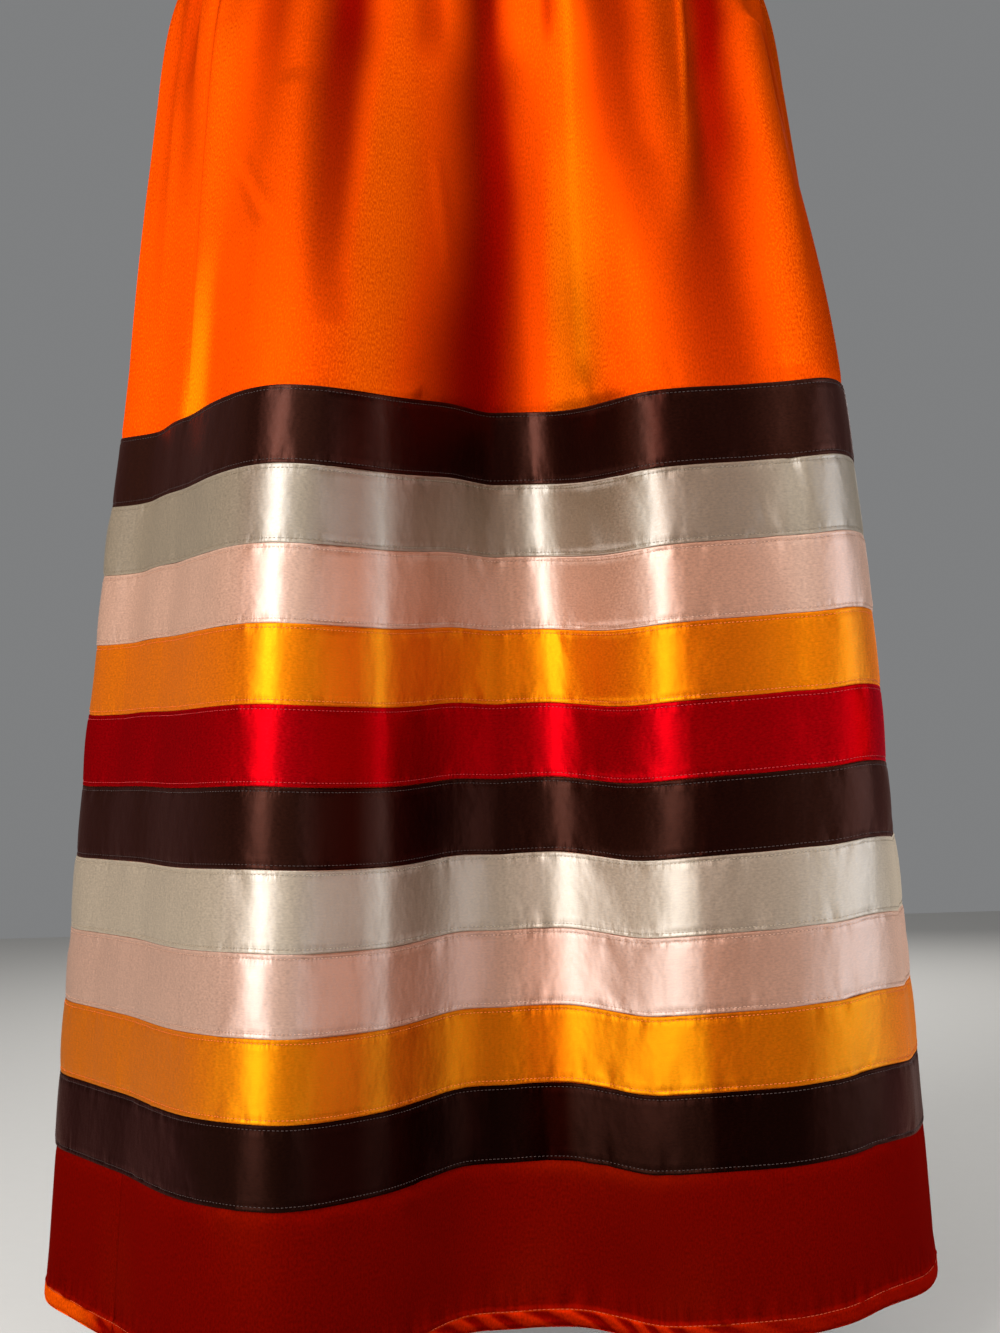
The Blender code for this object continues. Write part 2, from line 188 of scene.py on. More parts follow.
def smoothCurve(at, stations, values, around=0.0):      # level at each crest and trough
    at = np.asarray(at, dtype=float)
    stations = np.asarray(stations, dtype=float)
    values = np.asarray(values, dtype=float)
    if around:
        start = stations[0]
        stations = np.concatenate([stations - around, stations, stations + around])
        values = np.tile(values, 3)
        at = (at - start) % around + start
    span = np.diff(stations)
    rise = np.diff(values) / span
    before, after = rise[:-1], rise[1:]
    climbing = before * after > 0.0
    weightBefore = 2.0 * span[1:] + span[:-1]
    weightAfter = span[1:] + 2.0 * span[:-1]
    safeBefore = np.where(climbing, before, 1.0)
    safeAfter = np.where(climbing, after, 1.0)
    mean = (weightBefore + weightAfter) / (weightBefore / safeBefore + weightAfter / safeAfter)
    slope = np.concatenate([rise[:1], np.where(climbing, mean, 0.0), rise[-1:]])
    piece = np.clip(np.searchsorted(stations, at, side="right") - 1, 0, len(span) - 1)
    along = np.clip((at - stations[piece]) / span[piece], 0.0, 1.0)
    ease = along * along * (3.0 - 2.0 * along)
    leave = along * (1.0 - along) ** 2 * span[piece] * slope[piece]
    arrive = along * along * (along - 1.0) * span[piece] * slope[piece + 1]
    return values[piece] * (1.0 - ease) + values[piece + 1] * ease + leave + arrive


def column(table, columns, name):
    return [row[columns.index(name)] for row in table]


def named(table, columns):      # each row of a table by the names of its columns
    return [dict(zip(columns, row)) for row in table]


def fade(at, start, end):       # 1 up to start, 0 from end on
    share = np.clip((np.asarray(at, dtype=float) - start) / (end - start), 0.0, 1.0)
    return 1.0 - share * share * (3.0 - 2.0 * share)


def turnFrom(angles, angle):    # the shorter way round, in degrees
    return (angles - angle + 180.0) % 360.0 - 180.0


def foldOffset(angles, drop):
    levels = list(foldDrops.values())
    first = foldColumns.index("band")
    offsets = [smoothCurve(drop, levels, fold[first:]) for fold in folds]
    stations = column(folds, foldColumns, "angle")
    return sum(
        share * smoothCurve(angles + turn, stations, offsets, around=360.0)
        for turn, share in skirt["softening"]
    )


def pleatSum(angles, drop, what):       # the "depth" or "shade" of all pleats at one drop
    total = np.zeros_like(angles)
    grown = 1.0 - fade(drop, skirt["straightDrop"], gathers["fullDrop"])
    for pleat in pleats:
        drops = column(pleat, pleatColumns, "drop")
        if drops[0] <= drop <= drops[-1]:
            angle, width, strength = (
                smoothCurve(drop, drops, column(pleat, pleatColumns, name))
                for name in ("angle", "width", what)
            )
            total += grown * strength * np.exp(-np.abs(turnFrom(angles, angle) / width) ** 3)
    return total


def gatherOffset(angles, drop):
    drops = (skirt["straightDrop"], gathers["fullDrop"], gathers["endDrop"])
    depth = smoothCurve(drop, drops, (gathers["atBand"], gathers["full"], 0.0))
    turn = np.radians(angles)
    swing = gathers["swing"] * np.sin(gathers["swings"] * turn + gathers["swingStart"])
    return depth * (gathers["mean"] + swing) * np.cos(gathers["count"] * turn)


def planPoints(angles, drop, gathered=True):        # the outline seen from above at one drop
    level = max(drop, skirt["straightDrop"])
    drops = column(sections, sectionColumns, "drop")
    left, right, front, back = (
        smoothCurve(level, drops, column(sections, sectionColumns, side))
        for side in sectionColumns[1:]
    )
    sine = np.sin(np.radians(angles))
    cosine = np.cos(np.radians(angles))
    halfWidth = np.where(sine > 0.0, right, left)
    halfDepth = np.where(cosine > 0.0, front, back)
    outward = np.stack([sine / halfWidth, -cosine / halfDepth], axis=-1)
    outward /= np.linalg.norm(outward, axis=-1, keepdims=True)
    offset = foldOffset(angles, level)
    if gathered:
        offset = offset + pleatSum(angles, level, "depth") + gatherOffset(angles, level)
    base = np.stack([halfWidth * sine, -halfDepth * cosine], axis=-1)
    return base + outward * offset[:, None]


fallsDone = {}      # how far each ring of columns has fallen, worked out once


def clothFalls(angles):
    key = (len(angles), round(float(angles[0]), 4))
    if key not in fallsDone:
        step = skirt["fallStep"]
        steps = np.arange(0.0, skirt["hemDrop"] + 2.0 * step, step)
        plans = np.array([planPoints(angles, drop, gathered=False) for drop in steps])
        run = np.linalg.norm(np.diff(plans, axis=0), axis=-1)
        fall = np.sqrt(np.maximum(step ** 2 - run ** 2, 0.0))
        fallsDone[key] = np.vstack([np.zeros(len(angles)), np.cumsum(fall, axis=0)])
    return fallsDone[key]


def clothGrid(angles, drops):       # the inner face of the cloth, one row of points for each drop
    below = clothFalls(angles)
    drops = np.asarray(drops, dtype=float)
    place = drops / skirt["fallStep"]
    index = np.clip(place.astype(int), 0, len(below) - 2)
    share = (place - index)[:, None]
    fallen = below[index] * (1.0 - share) + below[index + 1] * share
    stations, sags = (column(folds, foldColumns, name) for name in ("angle", "sag"))
    sag = smoothCurve(angles, stations, sags, around=360.0)
    sagShare = 1.0 - fade(drops, skirt["straightDrop"], skirt["straightDrop"] + skirt["sagLength"])
    heights = -fallen - sagShare[:, None] * sag[None, :]
    plans = np.array([planPoints(angles, drop) for drop in drops])
    return np.concatenate([plans, heights[:, :, None]], axis=-1)


def clothNormals(angles, drops):
    downStep = 0.002
    turnStep = 0.25
    right = clothGrid(angles + turnStep, drops)
    left = clothGrid(angles - turnStep, drops)
    higher = clothGrid(angles, np.asarray(drops) - downStep)
    lower = clothGrid(angles, np.asarray(drops) + downStep)
    normals = np.cross(lower - higher, right - left)
    return normals / np.linalg.norm(normals, axis=-1, keepdims=True)


def ringAngles():
    return skirt["leftSeam"] + np.arange(skirt["columns"]) * 360.0 / skirt["columns"]


def arcLengths(row):        # from the first point of a closed row, with the whole girth last
    steps = np.linalg.norm(np.roll(row, -1, axis=0) - row, axis=-1)
    return np.concatenate([[0.0], np.cumsum(steps)])


def clothSheet(name, points, closedRound, around, down, paintedShade, wall=0.0):
    rows, columns = points.shape[:2]
    faces = []
    places = []
    for row in range(rows - 1):
        for spot in range(columns if closedRound else columns - 1):
            following = (spot + 1) % columns
            upper = row * columns
            lower = upper + columns
            faces.append((upper + spot, lower + spot, lower + following, upper + following))
            places += [around[spot], down[row], around[spot], down[row + 1]]
            places += [around[spot + 1], down[row + 1], around[spot + 1], down[row]]
    mesh = bpy.data.meshes.new(name)
    mesh.from_pydata(points.reshape(-1, 3).tolist(), [], faces)
    mesh.uv_layers.new(name="cloth").data.foreach_set("uv", np.array(places, dtype=np.float32))
    # the painted shade of each point, below 0 a painted highlight, which the finishes read
    shade = mesh.attributes.new("paintedShade", "FLOAT", "POINT")
    shade.data.foreach_set("value", paintedShade.astype(np.float32).ravel())
    mesh.shade_smooth()
    cloth = bpy.data.objects.new(name, mesh)
    bpy.context.scene.collection.objects.link(cloth)
    if wall:
        thickness = cloth.modifiers.new("wall", "SOLIDIFY")
        thickness.thickness = wall
        thickness.offset = 1.0
    return cloth


# sewing thread: its three-sided section, and where along a stitch it dives and lies flat
threadRing = ((0.87, -0.5), (0.0, 1.0), (-0.87, -0.5))
stitchShares = (0.0, 0.16, 0.84, 1.0)


def threadRun(name, lines, stitch):
    verts = []
    faces = []
    for points, normals in lines:
        girth = arcLengths(points)
        count = int(girth[-1] / stitch["pitch"])
        pitch = girth[-1] / count
        closed = np.vstack([points, points[:1]])
        closedNormals = np.vstack([normals, normals[:1]])
        starts = np.arange(count) * pitch
        shares = np.array(stitchShares) * stitch["length"]
        lifts = np.array([stitch["dip"], stitch["lift"], stitch["lift"], stitch["dip"]])
        at = starts[:, None] + shares[None, :]
        spot = np.stack([np.interp(at, girth, closed[:, axis]) for axis in range(3)], axis=-1)
        out = np.stack([np.interp(at, girth, closedNormals[:, axis]) for axis in range(3)], axis=-1)
        out /= np.linalg.norm(out, axis=-1, keepdims=True)
        spot = spot + out * lifts[None, :, None]
        along = spot[:, 3] - spot[:, 0]
        along /= np.linalg.norm(along, axis=-1, keepdims=True)
        side = np.cross(along, out[:, 1])
        for index in range(count):
            first = len(verts)
            verts.append(tuple(spot[index, 0]))
            for end in (1, 2):
                for across, raised in threadRing:
                    corner = spot[index, end]
                    corner = corner + side[index] * across * stitch["radius"]
                    corner = corner + out[index, end] * raised * stitch["radius"]
                    verts.append(tuple(corner))
            verts.append(tuple(spot[index, 3]))
            for edge in range(3):
                near = first + 1 + edge
                nearNext = first + 1 + (edge + 1) % 3
                faces.append((first, near, nearNext))
                faces.append((near, near + 3, nearNext + 3, nearNext))
                faces.append((near + 3, first + 7, nearNext + 3))
    mesh = bpy.data.meshes.new(name)
    mesh.from_pydata(verts, [], faces)
    mesh.shade_smooth()
    thread = bpy.data.objects.new(name, mesh)
    bpy.context.scene.collection.objects.link(thread)
    return thread


class Strand:       # one socket of a material, for sums written in Python
    def __init__(self, tree, socket):
        self.tree = tree
        self.socket = socket

    def make(self, kind, settings, values, output=0):
        node = self.tree.nodes.new(kind)
        for name, value in settings.items():
            setattr(node, name, value)
        for name, value in values.items():
            if isinstance(value, Strand):
                self.tree.links.new(value.socket, node.inputs[name])
            else:
                node.inputs[name].default_value = value
        return Strand(self.tree, node.outputs[output])

    def math(self, operation, first, second=0.0):
        return self.make("ShaderNodeMath", {"operation": operation}, {0: first, 1: second})

    def __add__(self, other):
        return self.math("ADD", self, other)

    def __radd__(self, other):
        return self.math("ADD", other, self)

    def __sub__(self, other):
        return self.math("SUBTRACT", self, other)

    def __rsub__(self, other):
        return self.math("SUBTRACT", other, self)

    def __mul__(self, other):
        return self.math("MULTIPLY", self, other)

    def __rmul__(self, other):
        return self.math("MULTIPLY", other, self)

    def ramp(self, low, high):      # 0 at low, 1 at high, held beyond
        settings = {"interpolation_type": "SMOOTHSTEP"}
        return self.make("ShaderNodeMapRange", settings, {0: self, 1: low, 2: high})

    def tint(self, first, second):      # first where this is 0, second where it is 1
        values = {6: first, 7: second}
        for name, colour in values.items():
            if not isinstance(colour, Strand):
                values[name] = (*colour, 1.0)
        return self.make("ShaderNodeMix", {"data_type": "RGBA"}, {0: self, **values}, output=2)

    def scale(self, colour):
        return self.make("ShaderNodeVectorMath", {"operation": "SCALE"}, {0: colour, "Scale": self})

    def feed(self, shader, name):
        self.tree.links.new(self.socket, shader.inputs[name])


def newMaterial(name):
    material = bpy.data.materials.new(name)
    material.use_nodes = True
    return material, material.node_tree.nodes["Principled BSDF"], Strand(material.node_tree, None)


def clothPlace(start):      # how far round and how far down a point of the cloth lies, in metres
    place = start.make("ShaderNodeUVMap", {"uv_map": "cloth"}, {})
    around = start.make("ShaderNodeSeparateXYZ", {}, {0: place}, output=0)
    down = start.make("ShaderNodeSeparateXYZ", {}, {0: place}, output=1)
    return around, down


def speckle(around, down, scale, detail=2.0):       # scale is a pair, round and down, per metre
    spot = around.make("ShaderNodeCombineXYZ", {}, {0: around * scale[0], 1: down * scale[1], 2: 0.0})
    settings = {"noise_dimensions": "2D"}
    return around.make("ShaderNodeTexNoise", settings, {"Vector": spot, "Scale": 1.0, "Detail": detail})


# the turned hem: painted shade on it and on the strip under the ribbons, and painted highlights where it
# shines
def turnedHem(look, around, down, paintedShade, colour, bright):      # it shines, roped by its seam
    wobble = around.math("SINE", around * hemRope["wobble"]) * hemRope["stray"]
    slant = around * (1.0 / hemRope["pitch"]) + (down - hemTop) * hemRope["lean"] + wobble
    rope = around.math("SINE", slant * (2.0 * math.pi)) * 0.5 + 0.5
    streak = speckle(around, down, hemRope["streakScale"])
    rope = rope.ramp(*hemRope["strandEdge"]) + (streak - 0.5) * hemRope["streakShade"]
    plain = around.math("MAXIMUM", paintedShade, 0.0)
    rope = rope * (1.0 - plain) + plain * hemRope["plainShare"]
    # painted shade in the gaps between the strands, and a painted highlight where the level goes below 0
    hem = rope.tint(look["hemDeepPaintedShade"], look["hemStrandPaintedShade"])
    hem = (0.0 - paintedShade).tint(hem, look["hemPaintedHighlight"])
    turned = down.ramp(hemTop - hemRope["edgeAbove"], hemTop + hemRope["edgeBelow"])
    # painted strokes of light and shade above the seam
    drag = speckle(around, down, hemRope["dragScale"])
    nearHem = down.ramp(hemTop - hemRope["dragReach"], hemTop) * (1.0 - turned)
    bright = bright + (drag - hemRope["dragMiddle"]) * nearHem * look["hemPaintedStrokes"]
    strip = down.ramp(look["stripTop"] - look["stripFade"], look["stripTop"] + look["stripFade"])
    bright = bright * (1.0 - strip * (1.0 - turned) * look["stripShade"])
    return turned.tint(colour, hem), bright


def satinFinish(name, look):
    material, shader, start = newMaterial(name)
    around, down = clothPlace(start)
    threads = speckle(around, down, look["threadsPerMetre"])
    grain = speckle(around, down, look["grain"], detail=1.0)
    cloud = speckle(around, down, (look["cloud"], look["cloud"]))
    bright = 1.0 + (threads - 0.5) * look["threadShade"] + (grain - 0.5) * look["grainShade"]
    bright = bright + (cloud - 0.5) * look["cloudShade"]
    rough = look["roughness"] + (grain - 0.5) * look["grainRoughness"]
    rough = rough + (cloud - 0.5) * look["cloudRoughness"]
    paintedShade = start.make("ShaderNodeAttribute", {"attribute_name": "paintedShade"}, {}, output=2)
    # painted shade: the colour darkens as the painted shade rises
    colour = paintedShade.tint(look["colour"], look["paintedShadeColour"])
    # below 0 a painted highlight takes over, as on a ridge that catches the light, with painted glints from
    # the grain
    colour = ((grain - 0.5) * look["paintedGlints"] - paintedShade).tint(colour, look["paintedHighlightColour"])
    height = threads * look["threadHeight"] + grain * look["grainHeight"]
    if "hemStrandPaintedShade" in look:
        colour, bright = turnedHem(look, around, down, paintedShade, colour, bright)
    if "width" in look:         # a ribbon: woven edges, a seat where its stitches sit, and slack between
        fromEdge = start.math("MINIMUM", down, look["width"] - down)
        woven = 1.0 - fromEdge.ramp(look["wovenEdge"] * look["wovenStart"], look["wovenEdge"])
        seat = start.math("ABSOLUTE", fromEdge - look["stitchInset"])
        seat = 1.0 - seat.ramp(look["seatWidth"] * look["seatStart"], look["seatWidth"])
        # a painted highlight along the woven edges and painted shade in the stitches' seat
        bright = bright + woven * look["wovenPaintedHighlight"] - seat * look["seatShade"]
        rough = rough + woven * look["wovenRoughness"]
        nearEdge = 1.0 - fromEdge.ramp(look["rippleStart"], look["rippleReach"])
        height = height + speckle(around, down, look["rippleScale"]) * nearEdge * look["rippleHeight"]
        height = height + speckle(around, down, look["cockleScale"]) * look["cockleHeight"]
    relief = {"Strength": look["bump"], "Distance": look["bumpDepth"], "Height": height}
    bright.scale(colour).feed(shader, "Base Color")
    rough.feed(shader, "Roughness")
    start.make("ShaderNodeBump", {}, relief).feed(shader, "Normal")
    # where shade is painted the cloth also turns more metallic, so the painted shade reads darker and deeper
    # in hue
    if "paintedShadeMetal" in look:   # hollows show more of the dyed thread and less of the pale gloss
        metal = look["metallic"] + start.math("MAXIMUM", paintedShade, 0.0) * look["paintedShadeMetal"]
        metal.feed(shader, "Metallic")
    else:
        shader.inputs["Metallic"].default_value = look["metallic"]
    shader.inputs["Anisotropic"].default_value = look["anisotropic"]
    shader.inputs["Anisotropic Rotation"].default_value = look["turn"]
    shader.inputs["Specular IOR Level"].default_value = look["specular"]
    shader.inputs["Specular Tint"].default_value = (*look["edge"], 1.0)
    shader.inputs["IOR"].default_value = look["index"]
    return material


threadLook = {
    "twist": 900.0,
    "darkest": 0.8,
    "swing": 0.4,
    "orange": (0.42, 0.05, 0.012),
    "orangeRoughness": 0.6,
    "ribbonRoughness": 0.5,
    "ribbonGain": 1.35,         # a little paler than its ribbon
    "ribbonLift": 0.004,
}


def threadFinish(name, colour, roughness):
    material, shader, start = newMaterial(name)
    place = start.make("ShaderNodeTexCoord", {}, {}, output=3)
    values = {"Vector": place, "Scale": threadLook["twist"], "Detail": 1.0}
    twist = start.make("ShaderNodeTexNoise", {}, values)
    (threadLook["darkest"] + twist * threadLook["swing"]).scale(colour).feed(shader, "Base Color")
    shader.inputs["Roughness"].default_value = roughness
    return material


panel = {
    "columns": 300,             # across each panel
    "wall": 0.0008,
    "lift": 0.0002,
    "bandHeight": 0.040,
    "ribbonTop": 0.410,
    "ribbonsEnd": 0.910,
    "sewnIn": 0.0007,           # how far the ribbons' stitches draw the cloth in
    "coverInside": 0.004,
    "coverOutside": 0.007,
    "seamGap": 0.0003,
    "seamSlot": 0.03,           # degrees short of the seam
    "seamDepth": 0.0011,
    "seamWidth": 0.0022,
    "seamShade": 0.40,
    "seamShadeWidth": 0.0020,
    "seamShadeEnds": (0.36, 0.40),
    "hemShade": 1.0,
    "hemShadeStarts": (0.86, 0.900),
    "hemTurn": 0.0105,
    "hemLift": 0.0011,
    "hemRadius": 0.0004,
    "hemStep": 0.003,
    "ropeDepth": 0.0006,
    "ropeStart": 0.08,
    "measureShare": 0.6,        # how far down lengths round are measured
}

# rows of points down a panel: steps between them, and the closer rows beside each edge
panelRows = {
    "upperStep": 0.005,
    "upperEnd": 0.032,
    "aboveRibbons": (0.030, 0.025, 0.020, 0.016, 0.012, 0.008, 0.005, 0.002),
    "underStep": 0.028,
    "underEnd": 0.001,
    "belowRibbons": (0.0, 0.003, 0.007, 0.012),
    "lowerStart": 0.017,
    "lowerStep": 0.005,
    "lowerEnd": 0.008,
    "hem": (-0.007, -0.0045, -0.0025, -0.001, 0.0005, 0.002, 0.0035, 0.005, 0.0065, 0.008, 0.0095),
    "aroundHem": 5,
    "insideHem": (0.003, 0.006, 0.010),
}

hemTop = skirt["hemDrop"] - panel["hemTurn"]

# strands that the hem's seam twists into the turn; lean and wobble are per metre of cloth
hemRope = {
    "pitch": 0.027,
    "lean": -62.0,
    "wobble": 21.0,
    "stray": 0.22,
    "strandEdge": (0.15, 0.85),
    "streakScale": (420.0, 420.0),
    "streakShade": 0.5,
    "plainShare": 0.25,
    "edgeAbove": 0.0006,
    "edgeBelow": 0.0004,
    "rowsAbove": 0.0002,
    # painted strokes of light and shade, drawn by noise above the seam
    "dragScale": (150.0, 22.0),     # strokes of light that the seam draws in the cloth above it
    "dragMiddle": 0.45,
    "dragReach": 0.022,
}

# how the turned hem looks at each angle: 1 is smooth in painted shade, 0 roped, -1 smooth with a painted
# highlight
hemColumns = ("angle", "level")
hemLevels = (
    (-88, -1), (-62, -0.9), (-50, 0.3), (-36, 1), (-14, 0.9), (-6, 0.1), (22, 0), (30, 0.5), (40, 0.9),
    (84, 1), (104, 0.2), (132, 0.1), (150, 1), (176, 0.9), (196, 0), (222, 0.2), (246, 1),
)

satin = {
    "colour": (0.425, 0.037, 0.0002),
    # then: painted shade in the folds and on the strip under the ribbons, and a painted highlight on the
    # ridges
    "paintedShadeColour": (0.138, 0.0014, 0.0001),
    "paintedHighlightColour": (0.52, 0.128, 0.0006),
    "threadsPerMetre": (2400.0, 50.0),      # the long satin threads hang down the cloth
    "grain": (950.0, 500.0),
    # painted glints from the grain
    "paintedGlints": 0.45,
    "cloud": 16.0,
    "threadShade": 0.22,
    "grainShade": 0.80,
    "cloudShade": 0.10,
    "roughness": 0.64,
    "grainRoughness": 0.10,
    "cloudRoughness": 0.06,
    "metallic": 0.80,
    "edge": (0.85, 0.16, 0.02),
    "anisotropic": 0.70,
    "turn": 0.0,
    "specular": 0.04,
    "index": 1.2,
    "bump": 0.25,
    "bumpDepth": 0.0002,
    "threadHeight": 0.6,
    "grainHeight": 0.4,
    # the turned hem's colours: its strands in painted shade, the gaps and smooth parts in deeper painted
    # shade, and a painted highlight where it shines
    "hemStrandPaintedShade": (0.27, 0.0080, 0.0002),
    "hemDeepPaintedShade": (0.125, 0.0008, 0.0001),
    "hemPaintedHighlight": (0.50, 0.055, 0.0002),
    # painted strokes of light and shade above the seam
    "hemPaintedStrokes": 1.2,
    "stripTop": 0.900,          # the strip below the ribbons hangs in their shade
    "stripFade": 0.005,
    "stripShade": 0.30,
}

# creases of the upper cloth: where each starts and ends, how wide and how far out
creaseColumns = ("angle", "drop", "endAngle", "endDrop", "width", "depth")
creases = (
    (-37, 0.25, -29, 0.3, 0.0045, -0.0016), (-35, 0.25, -27, 0.296, 0.0045, 0.001),
    (-5.5, 0.245, -4, 0.32, 0.004, 0.0014), (-90, 0.1, -90, 0.36, 0.006, 0.002),
    (-31, 0.1, -29, 0.38, 0.007, 0.0016), (70, 0.2, 74, 0.38, 0.005, 0.0018),
    (105, 0.15, 112, 0.33, 0.006, -0.0018), (118, 0.09, 121, 0.38, 0.007, 0.002),
    (150, 0.11, 147, 0.35, 0.006, 0.0018), (172, 0.24, 181, 0.3, 0.0045, -0.0015),
    (186, 0.09, 188, 0.37, 0.006, 0.002), (207, 0.12, 203, 0.34, 0.007, -0.0016),
    (226, 0.1, 229, 0.39, 0.005, 0.0018), (252, 0.18, 246, 0.36, 0.006, -0.0018),
    (-51, 0.36, -48.5, 0.44, 0.004, -0.0012), (-36, 0.382, -33.5, 0.44, 0.0036, -0.001),
    (-25.5, 0.386, -24, 0.44, 0.0034, -0.001), (-23.5, 0.382, -25, 0.44, 0.0034, 0.0008),
    (-8, 0.384, -11, 0.44, 0.004, 0.0009), (18, 0.384, 19.5, 0.44, 0.0032, -0.0006),
    (21.5, 0.384, 20, 0.44, 0.0032, 0.0006), (23, 0.386, 25, 0.44, 0.0034, -0.0007),
    (28, 0.38, 30, 0.44, 0.0036, -0.0009), (45, 0.38, 46, 0.44, 0.0036, -0.001),
)

# fine ripples: height share, waves round the skirt, and how far and how often they sway
waveColumns = ("share", "count", "sway", "sways")
bandRipples = {
    "height": 0.0009,
    "ends": (0.050, 0.150),
    "waves": ((1.0, 61.0, 2.0, 7.0), (0.6, 97.0, 1.5, 5.0)),
}

# dimples that run in from a stitched edge; the ranges are of the random draws
pucker = {
    "sides": (-1.0, -1.0, 0.7),     # in twice as often as out
    "lean": (-0.6, 0.6),
    "spread": (0.35, 1.8),
    "reach": 3.0,
    "besideShare": 0.5,             # a smaller swell beside each dimple
    "besideAway": 1.4,
}
puckerColumns = ("spacing", "width", "length", "depth")
puckerEdges = {
    "aboveRibbons": (0.030, (0.003, 0.007), (0.004, 0.012), (0.0004, 0.0012)),
    "belowRibbons": (0.024, (0.003, 0.007), (0.004, 0.014), (0.0003, 0.0010)),
    "aboveHem": (0.016, (0.003, 0.006), (0.006, 0.024), (0.0003, 0.0011)),
    "ribbon": (0.017, (0.0022, 0.0060), (0.003, 0.011), (0.0002, 0.0009)),
}


def creaseRelief(angles, drops, girth):
    relief = np.zeros((len(drops), len(angles)))
    perDegree = girth / 360.0
    for crease in named(creases, creaseColumns):
        away = turnFrom(angles, crease["angle"])
        length = crease["endDrop"] - crease["drop"]
        lean = (crease["endAngle"] - crease["angle"]) / length
        for row, level in enumerate(drops):
            fallen = level - crease["drop"]
            if 0.0 < fallen < length:
                strength = crease["depth"] * math.sin(math.pi * float(fallen / length)) ** 0.5
                across = (away - lean * fallen) * perDegree
                relief[row] += strength * np.exp(-(across / crease["width"]) ** 2)
    return relief


def swayingWaves(angles, waves):
    turn = np.radians(angles)
    return sum(
        wave["share"] * np.sin(wave["count"] * turn + wave["sway"] * np.sin(wave["sways"] * turn))
        for wave in named(waves, waveColumns)
    )


def rippleRelief(angles, drops):        # fine gathers right under the waistband
    wave = swayingWaves(angles, bandRipples["waves"])
    return bandRipples["height"] * fade(drops, *bandRipples["ends"])[:, None] * wave[None, :]


def puckers(seed, girth, edge):
    look = dict(zip(puckerColumns, puckerEdges[edge]))
    rng = random.Random(seed)
    found = []
    at = rng.uniform(0.0, look["spacing"])
    while at < girth:
        found.append({
            "at": at,
            "width": rng.uniform(*look["width"]),
            "length": rng.uniform(*look["length"]),
            "depth": rng.choice(pucker["sides"]) * rng.uniform(*look["depth"]),
            "lean": rng.uniform(*pucker["lean"]),
        })
        at += look["spacing"] * rng.uniform(*pucker["spread"])
    return found


def puckerRelief(found, around, fromEdge, girth):
    relief = np.zeros((len(fromEdge), len(around)))
    for dimple in found:
        width = dimple["width"]
        for row, reach in enumerate(fromEdge):
            if reach < 0.0 or reach > pucker["reach"] * dimple["length"]:
                continue
            away = around - dimple["at"] - dimple["lean"] * reach
            away = (away + girth / 2.0) % girth - girth / 2.0
            strength = dimple["depth"] * math.exp(-(reach / dimple["length"]) ** 2)
            beside = np.exp(-((away - pucker["besideAway"] * width) / width) ** 2)
            relief[row] += strength * (np.exp(-(away / width) ** 2) - pucker["besideShare"] * beside)
    return relief


def panelDrops():
    top = panel["bandHeight"] + panel["seamGap"]
    ribbonTop, ribbonsEnd = panel["ribbonTop"], panel["ribbonsEnd"]
    return np.concatenate([
        np.arange(top, ribbonTop - panelRows["upperEnd"], panelRows["upperStep"]),
        ribbonTop - np.array(panelRows["aboveRibbons"]),
        np.arange(ribbonTop, ribbonsEnd - panelRows["underEnd"], panelRows["underStep"]),
        ribbonsEnd + np.array(panelRows["belowRibbons"]),
        np.arange(ribbonsEnd + panelRows["lowerStart"], hemTop - panelRows["lowerEnd"],
                  panelRows["lowerStep"]),
        hemTop + np.array(panelRows["hem"]),
    ])


def hemProfile():       # the turn at the bottom edge: how far down each row is, and how far out
    radius = panel["hemRadius"]
    bottom = skirt["hemDrop"]
    edge = [
        (bottom - radius + radius * math.sin(turn) - panel["wall"], 0.5 + 0.5 * math.cos(turn))
        for turn in np.radians(np.linspace(0.0, 180.0, panelRows["aroundHem"]))
    ]
    return edge + [(bottom - rise, 0.0) for rise in panelRows["insideHem"]]


def hemLevel(angles):
    stations, levels = (column(hemLevels, hemColumns, name) for name in hemColumns)
    return smoothCurve(angles, stations, levels, around=360.0)


def panelRelief(angles, drops, around, seed):       # how far out the cloth stands from its form
    girth = around[-1]
    relief = np.full((len(drops), len(angles)), panel["lift"])
    relief += creaseRelief(angles, drops, 2.0 * girth)
    relief += rippleRelief(angles, drops)
    edges = (
        ("aboveRibbons", panel["ribbonTop"] - drops),
        ("belowRibbons", drops - panel["ribbonsEnd"]),
        ("aboveHem", hemTop - drops),
    )
    for count, (edge, fromEdge) in enumerate(edges):
        relief += puckerRelief(puckers(seed + count, girth, edge), around, fromEdge, 2.0 * girth)
    middle = (panel["ribbonTop"] + panel["ribbonsEnd"]) / 2.0
    reach = (panel["ribbonsEnd"] - panel["ribbonTop"]) / 2.0
    fromMiddle = np.abs(drops - middle)[:, None]
    covered = fade(fromMiddle, reach - panel["coverInside"], reach + panel["coverOutside"])
    return relief * (1.0 - covered) - panel["sewnIn"] * covered


def hemStrands(angles, drops, around):
    strands = np.zeros((len(drops), len(angles)))
    roped = 1.0 - np.abs(hemLevel(angles))
    for row, drop in enumerate(drops):
        if drop > hemTop:
            phase = around / hemRope["pitch"] + (drop - hemTop) * hemRope["lean"]
            phase += np.sin(around * hemRope["wobble"]) * hemRope["stray"]
            swell = math.sin(math.pi * min(1.0, (drop - hemTop) / panel["hemTurn"] + panel["ropeStart"]))
            strands[row] = panel["ropeDepth"] * roped * swell * np.sin(2.0 * math.pi * phase)
    return strands


